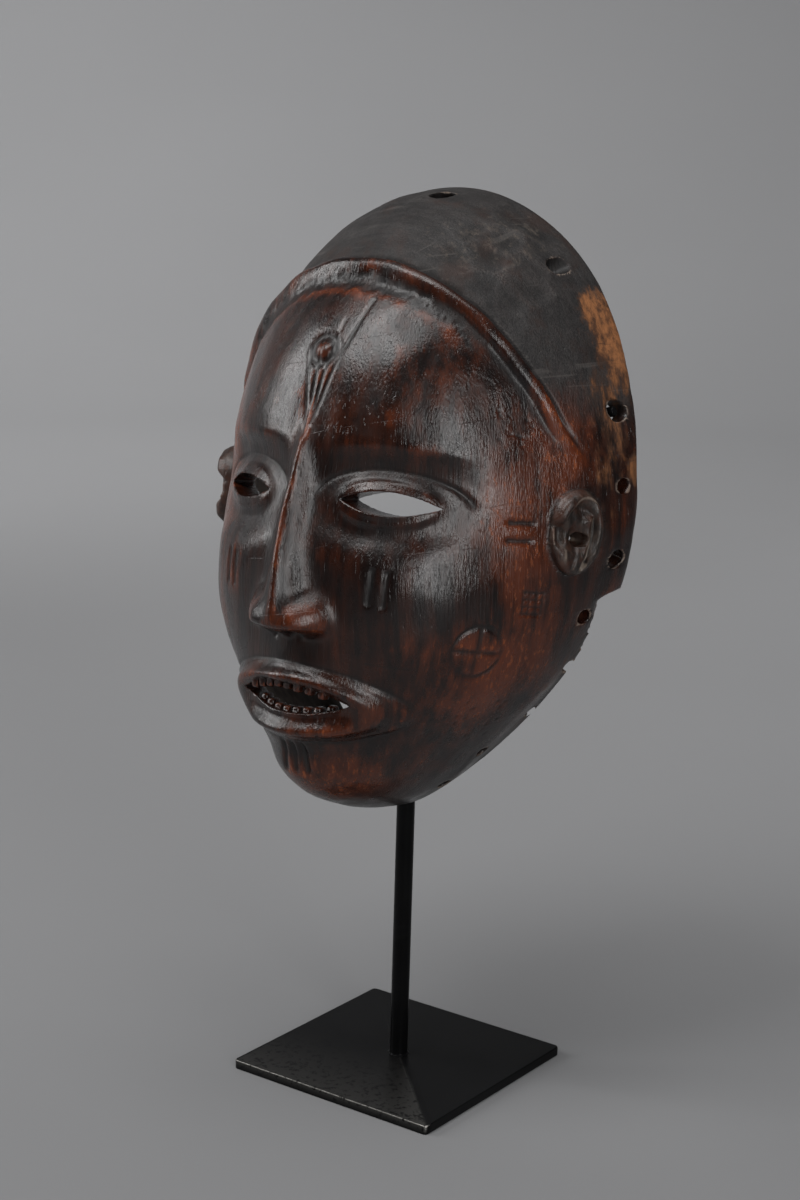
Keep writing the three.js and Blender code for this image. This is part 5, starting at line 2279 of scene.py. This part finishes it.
@dataclass
class SteelStand:
    """Square foot, round post and bent fork of black steel."""

    plan: HeadPlan = field(default_factory=HeadPlan)
    foot_side: float = 100.0
    foot_thickness: float = 4.0
    foot_corner: float = 2.0
    foot_round: float = 0.5
    chip_reach: float = 1.6
    post_diameter: float = 7.6
    post_top: float = 133.0
    touch_gap: float = 0.3
    weld_height: float = 0.9
    fork_diameter: float = 4.0
    fork_spread: float = 61.0
    fork_shoulder: float = -63.0
    pin_inset: float = 4.0
    pin_hole: RimHole = RimHole(19.0, 7.5, 8.5)

    def foot(self) -> bpy.types.Object:
        """Foot plate with rounded corners, soft edges and one chipped corner.

        Returns:
            The object, in metres.
        """
        edge_steps, arc_steps, side_steps = 5, 8, 60
        half, top = self.foot_side / 2.0, self.foot_thickness
        inner = half - self.foot_corner
        eighth, quarter = math.pi / 4.0, math.pi / 2.0
        outline = []
        for turn in (0.0, quarter, 2.0 * quarter, 3.0 * quarter):
            corner = heading(turn + eighth) * inner * math.sqrt(2)
            outline += [(corner, heading(turn + quarter * k / arc_steps)) for k in range(arc_steps + 1)]
            after = turn + quarter
            step = heading(after + quarter) * 2.0 * inner / side_steps
            outline += [(corner + step * k, heading(after)) for k in range(1, side_steps)]
        centres = np.array([item[0] for item in outline])
        outs = np.array([item[1] for item in outline])
        profile = [
            (self.foot_corner - self.foot_round * (1 - sine), self.foot_round * (1 - cosine))
            for sine, cosine in quarter_circle(edge_steps)
        ]
        layers = [(out, height, height / self.foot_round * 0.4) for out, height in profile]
        for out, height in reversed(profile):
            layers.append((out, top - height, 1.0 if 0.1 < height / self.foot_round < 0.9 else 0.5))
        points, marks = [], []
        for out, height, mark in layers:
            ring = centres + outs * out
            from_corner = np.hypot(ring[:, 0] - half, ring[:, 1] + half)
            chip = np.exp(-np.square(from_corner / self.chip_reach))
            chip = chip * smoothstep(np.array(height), top * 0.5, top)
            ring = ring - outs * chip[:, None] * 0.8
            points.append(np.column_stack([ring, np.full(len(ring), height) - chip * 0.5]))
            marks.append(np.maximum(np.full(len(ring), mark) * self.edge_wear_and_catch_light(ring), chip * 1.3))
        faces = capped_rings(len(outline), len(layers))
        return self.dress("foot_plate", np.concatenate(points), faces, np.concatenate(marks))

    def edge_wear_and_catch_light(self, ring: np.ndarray) -> np.ndarray:
        """How rubbed the edge is round the foot: most on the front side, where it is also a painted catch
        light, and at corners.
        """
        half = self.foot_side / 2.0
        # Front edge brightest: wear and a painted catch light.
        front = smoothstep(-ring[:, 1], half * 0.9, half)
        others = 0.35 * np.ones(len(ring))
        corner = smoothstep(np.minimum(np.abs(ring[:, 0]), np.abs(ring[:, 1])), half * 0.93, half)
        return np.clip(np.maximum(np.maximum(front * 0.95, others), corner), 0.0, 1.0)

    def post(self) -> bpy.types.Object:
        """Round post with its weld at the foot and a soft edge at the top.

        Returns:
            The object, in metres.
        """
        radius = self.post_diameter / 2.0
        foot, top = self.foot_thickness, self.post_top
        profile = [
            (radius + self.weld_height * (1 - sine), foot + self.weld_height * (1 - cosine))
            for sine, cosine in quarter_circle(6)
        ]
        profile += [(radius, foot + self.weld_height + (top - foot) * k / 40.0) for k in range(1, 39)]
        profile += [(radius, top - 0.5), (radius - 0.15, top - 0.15), (radius - 0.5, top)]
        count = 64
        turn = circle(count)
        uneven = SmoothNoise(71, 3.0)
        points = []
        for out, height in profile:
            ring = np.stack([np.cos(turn), np.sin(turn)], axis=1)
            spread = out + np.zeros(count)
            if out > radius + 0.05:
                spread += 0.12 * uneven.at(np.column_stack([ring * radius, np.full(count, height)]))
            points.append(np.column_stack([ring * spread[:, None], np.full(count, height)]))
        faces = capped_rings(count, len(profile))
        return self.dress("round_post", np.concatenate(points), faces, np.zeros(len(profile) * count))

    def fork_path(self) -> np.ndarray:
        """Bends of the rod in the mask's frame, from one pin to the other.

        Returns:
            Bends in order.
        """
        start, out = self.pin_hole.line(self.plan)
        elbow = start - out * (self.pin_inset + 17.0)
        rest = Vector((0.0, 0.0, self.post_top + self.fork_diameter / 2.0 + self.touch_gap))
        turn = Matrix.Rotation(-self.plan.lean, 3, "X") @ Matrix.Rotation(-self.plan.roll, 3, "Y")
        seat = Vector((0.0, self.plan.seat_back, self.plan.seat_height))
        middle = np.array(turn.transposed() @ (rest - seat))
        spread, shoulder = self.fork_spread, self.fork_shoulder
        half = [
            start - out * self.pin_inset,
            start - out * (self.pin_inset + 9.0),
            elbow + np.array([0.0, 0.5, -1.5]),
            np.array([spread + 1.5, elbow[1] + 1.5, elbow[2] - 12.0]),
            np.array([spread, elbow[1] + 2.0, self.plan.eye_line]),
            np.array([spread - 1.0, -8.0, shoulder + 14.0]),
            np.array([spread - 9.0, -6.0, shoulder]),
            np.array([14.0, middle[1] * 0.9, middle[2] + 5.0]),
        ]
        other = [point * np.array([-1.0, 1.0, 1.0]) for point in reversed(half)]
        return np.array([*half, middle, *other])

    @staticmethod
    def smooth_path(bends: np.ndarray, per_span: int) -> np.ndarray:
        """Centripetal curve through the bends.

        Args:
            bends: Points the curve passes through.
            per_span: Points between two bends.

        Returns:
            Points along the curve.
        """
        ends = [2 * bends[0] - bends[1], *bends, 2 * bends[-1] - bends[-2]]
        places = []
        for p0, p1, p2, p3 in zip(ends, ends[1:], ends[2:], ends[3:]):
            spans = ((p0, p1), (p1, p2), (p2, p3))
            d0, d1, d2 = (max(math.sqrt(np.linalg.norm(b - a)), 1e-4) for a, b in spans)
            leave = ((p1 - p0) / d0 - (p2 - p0) / (d0 + d1) + (p2 - p1) / d1) * d1
            arrive = ((p2 - p1) / d1 - (p3 - p1) / (d1 + d2) + (p3 - p2) / d2) * d1
            for k in range(per_span):
                t = k / per_span
                places.append(
                    p1 + leave * t + (3 * (p2 - p1) - 2 * leave - arrive) * t**2
                    + (2 * (p1 - p2) + leave + arrive) * t**3
                )
        places.append(bends[-1])
        return np.array(places)

    def fork(self) -> bpy.types.Object:
        """Bent rod with rounded ends.

        Returns:
            The object, in metres.
        """
        path = self.plan.to_world(self.smooth_path(self.fork_path(), 14)) / MM
        count = 20
        ways = np.gradient(path, axis=0)
        ways /= np.linalg.norm(ways, axis=1, keepdims=True)
        side = np.cross(ways[0], (0.0, 1.0, 0.0))
        turn = circle(count)
        radius = self.fork_diameter / 2.0
        rings = []
        for place, way in zip(path, ways):
            side = side - way * (side @ way)
            side /= np.linalg.norm(side)
            other = np.cross(way, side)
            rings.append((place, way, np.outer(np.cos(turn), side) + np.outer(np.sin(turn), other)))
        layers = [rings[0][0] + rings[0][2] * radius * 0.72]
        layers.append(rings[0][0] + rings[0][1] * 0.5 + rings[0][2] * radius)
        layers += [place + ring * radius for place, _, ring in rings[1:-1]]
        layers.append(rings[-1][0] - rings[-1][1] * 0.5 + rings[-1][2] * radius)
        layers.append(rings[-1][0] + rings[-1][2] * radius * 0.72)
        points = np.concatenate(layers)
        marks = np.zeros(len(points))
        marks[: 3 * count] = 0.3
        marks[-3 * count:] = 0.3
        return self.dress("bent_fork", points, capped_rings(count, len(layers)), marks)

    @staticmethod
    def dress(name: str, points: np.ndarray, faces: Faces, marks: np.ndarray) -> bpy.types.Object:
        """Makes a steel piece and gives it its wear values, its finish and its shading.

        Args:
            name: Name of the piece.
            points: Vertex places, in millimetres.
            faces: Faces, of which the last two are the flat ends.
            marks: How rubbed each vertex is; on the foot's front edge this also stands for a painted catch
                light.

        Returns:
            The object, in metres.
        """
        piece = new_object(name, points * MM, faces)
        mesh = piece.data
        layer = mesh.attributes.new(Mark.RAISED.value, "FLOAT", "POINT")
        layer.data.foreach_set("value", marks.astype(np.float32))
        face_outward(mesh)
        smooth = [True] * (len(mesh.polygons) - 2) + [False] * 2
        mesh.polygons.foreach_set("use_smooth", smooth)
        mesh.materials.append(BlackSteel().material())
        mesh.update()
        return piece


@dataclass(frozen=True)
class SoftBox:
    """Soft light, placed by its direction from the mask and aimed at a point."""

    title: str
    azimuth: float
    height: float
    distance: float
    size: tuple[float, float]
    watts: float
    aim: Colour = MASK_MIDDLE
    spread: float = 180.0

    def place(self) -> bpy.types.Object:
        """Sets up the light.

        Returns:
            The light.
        """
        data = bpy.data.lights.new(self.title, "AREA")
        data.shape = "RECTANGLE"
        data.size, data.size_y = self.size
        data.energy = self.watts
        data.spread = math.radians(self.spread)
        lamp = bpy.data.objects.new(self.title, data)
        bpy.context.scene.collection.objects.link(lamp)
        turn, lift = math.radians(self.azimuth), math.radians(self.height)
        way = Vector((math.sin(turn) * math.cos(lift), -math.cos(turn) * math.cos(lift), math.sin(lift)))
        lamp.location = Vector(MASK_MIDDLE) + way * self.distance
        lamp.rotation_euler = (Vector(self.aim) - lamp.location).to_track_quat("-Z", "Y").to_euler()
        lamp.visible_camera = False
        return lamp


@dataclass
class Studio:
    """Round seamless ground, soft lights and the camera."""

    floor_radius: float = 1.7
    wall_top: float = 2.2
    wall_curve: float = 1.0
    lens: float = 70.316
    camera_place: Colour = (0.53791, -0.76017, 0.42789)
    camera_right: Colour = (0.80899238, 0.58715641, 0.02790486)
    camera_up: Colour = (-0.15966412, 0.17380461, 0.97175065)
    lights: tuple[SoftBox, ...] = (
        SoftBox("key", -16.0, 56.0, 1.35, (0.6, 0.55), 7.3),
        SoftBox("side strip", 57.0, 12.0, 1.35, (0.3, 0.8), 5.0),
        SoftBox("far strip", -62.0, 20.0, 1.5, (0.4, 0.9), 8.0),
        SoftBox("right floor", 60.0, 75.0, 1.5, (0.8, 0.8), 2.6, (0.45, 0.45, 0.0), 120.0),
        SoftBox("left wall", -125.0, 50.0, 1.5, (0.8, 0.8), 10.4, (-2.4, 1.3, 0.3), 120.0),
        SoftBox("right wall", 175.0, 50.0, 1.5, (0.8, 0.8), 2.6, (-0.2, 2.6, 0.3), 120.0),
        SoftBox("far left floor", -125.0, 65.0, 1.5, (0.8, 0.8), 3.1, (-1.4, 0.9, 0.0), 120.0),
        SoftBox("far right floor", 175.0, 65.0, 1.5, (0.8, 0.8), 5.6, (-0.5, 1.8, 0.0), 120.0),
    )

    def ground(self) -> bpy.types.Object:
        """Floor that curves up into a wall all round.

        Returns:
            The object.
        """
        profile = [(self.floor_radius * k / 8.0, 0.0) for k in range(1, 9)]
        profile += [
            (self.floor_radius + self.wall_curve * sine, self.wall_curve * (1 - cosine))
            for sine, cosine in quarter_circle(16, 1)
        ]
        profile.append((self.floor_radius + self.wall_curve, self.wall_top))
        count = 96
        turn = circle(count)
        rings = [
            np.column_stack([np.cos(turn) * r, np.sin(turn) * r, np.full(count, z)]) for r, z in profile
        ]
        points = np.concatenate([*rings, [[0.0, 0.0, 0.0]]])
        faces = ring_faces(count, len(profile))
        faces += [(i, len(points) - 1, (i + 1) % count) for i in range(count)]
        ground = new_object("ground", points, faces)
        for face in ground.data.polygons:
            face.use_smooth = True
        ground.data.flip_normals()
        ground.data.materials.append(PaperGround().material())
        return ground

    def camera(self) -> None:
        """Camera at the photograph's viewpoint."""
        data = bpy.data.cameras.new("camera")
        data.lens = self.lens
        data.sensor_width = 36.0
        camera = bpy.data.objects.new("camera", data)
        bpy.context.scene.collection.objects.link(camera)
        right, up = Vector(self.camera_right), Vector(self.camera_up)
        matrix = Matrix((right, up, right.cross(up))).transposed().to_4x4()
        matrix.translation = Vector(self.camera_place)
        camera.matrix_world = matrix
        bpy.context.scene.camera = camera

    def world(self) -> None:
        """Even dim surroundings."""
        world = bpy.data.worlds.new("studio")
        world.use_nodes = True
        background = world.node_tree.nodes["Background"]
        background.inputs["Color"].default_value = (0.78, 0.80, 0.82, 1.0)
        background.inputs["Strength"].default_value = 0.10
        bpy.context.scene.world = world

    def build(self) -> None:
        """Sets up the whole studio."""
        self.ground()
        self.camera()
        self.world()
        for light in self.lights:
            light.place()
        scene = bpy.context.scene
        scene.view_settings.view_transform = "Standard"
        scene.view_settings.look = "None"


def hand_over(piece: bpy.types.Object, slot: Slot, *nodes: str) -> None:
    """Gives a finished piece its body, hides the imported nodes it stands for and logs them."""
    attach(piece, BODY)
    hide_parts(*nodes)
    mesh = piece.data
    triangles = len(mesh.loops) - 2 * len(mesh.polygons)
    LOG.info("%s: %d triangles, for %s", piece.name, triangles, ", ".join(nodes))


def main() -> None:
    """Builds the mask, its stand and the studio."""
    logging.basicConfig(level=logging.INFO, format="%(name)s: %(message)s")
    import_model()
    Studio().build()
    stand = SteelStand()
    hand_over(stand.foot(), Slot.STEEL, "stand_plate")
    hand_over(stand.post(), Slot.STEEL, "stand_post")
    hand_over(stand.fork(), Slot.STEEL, "stand_fork")
    hand_over(CarvedMask().build(), Slot.WOOD, "mask")


if __name__ == "__main__":
    main()
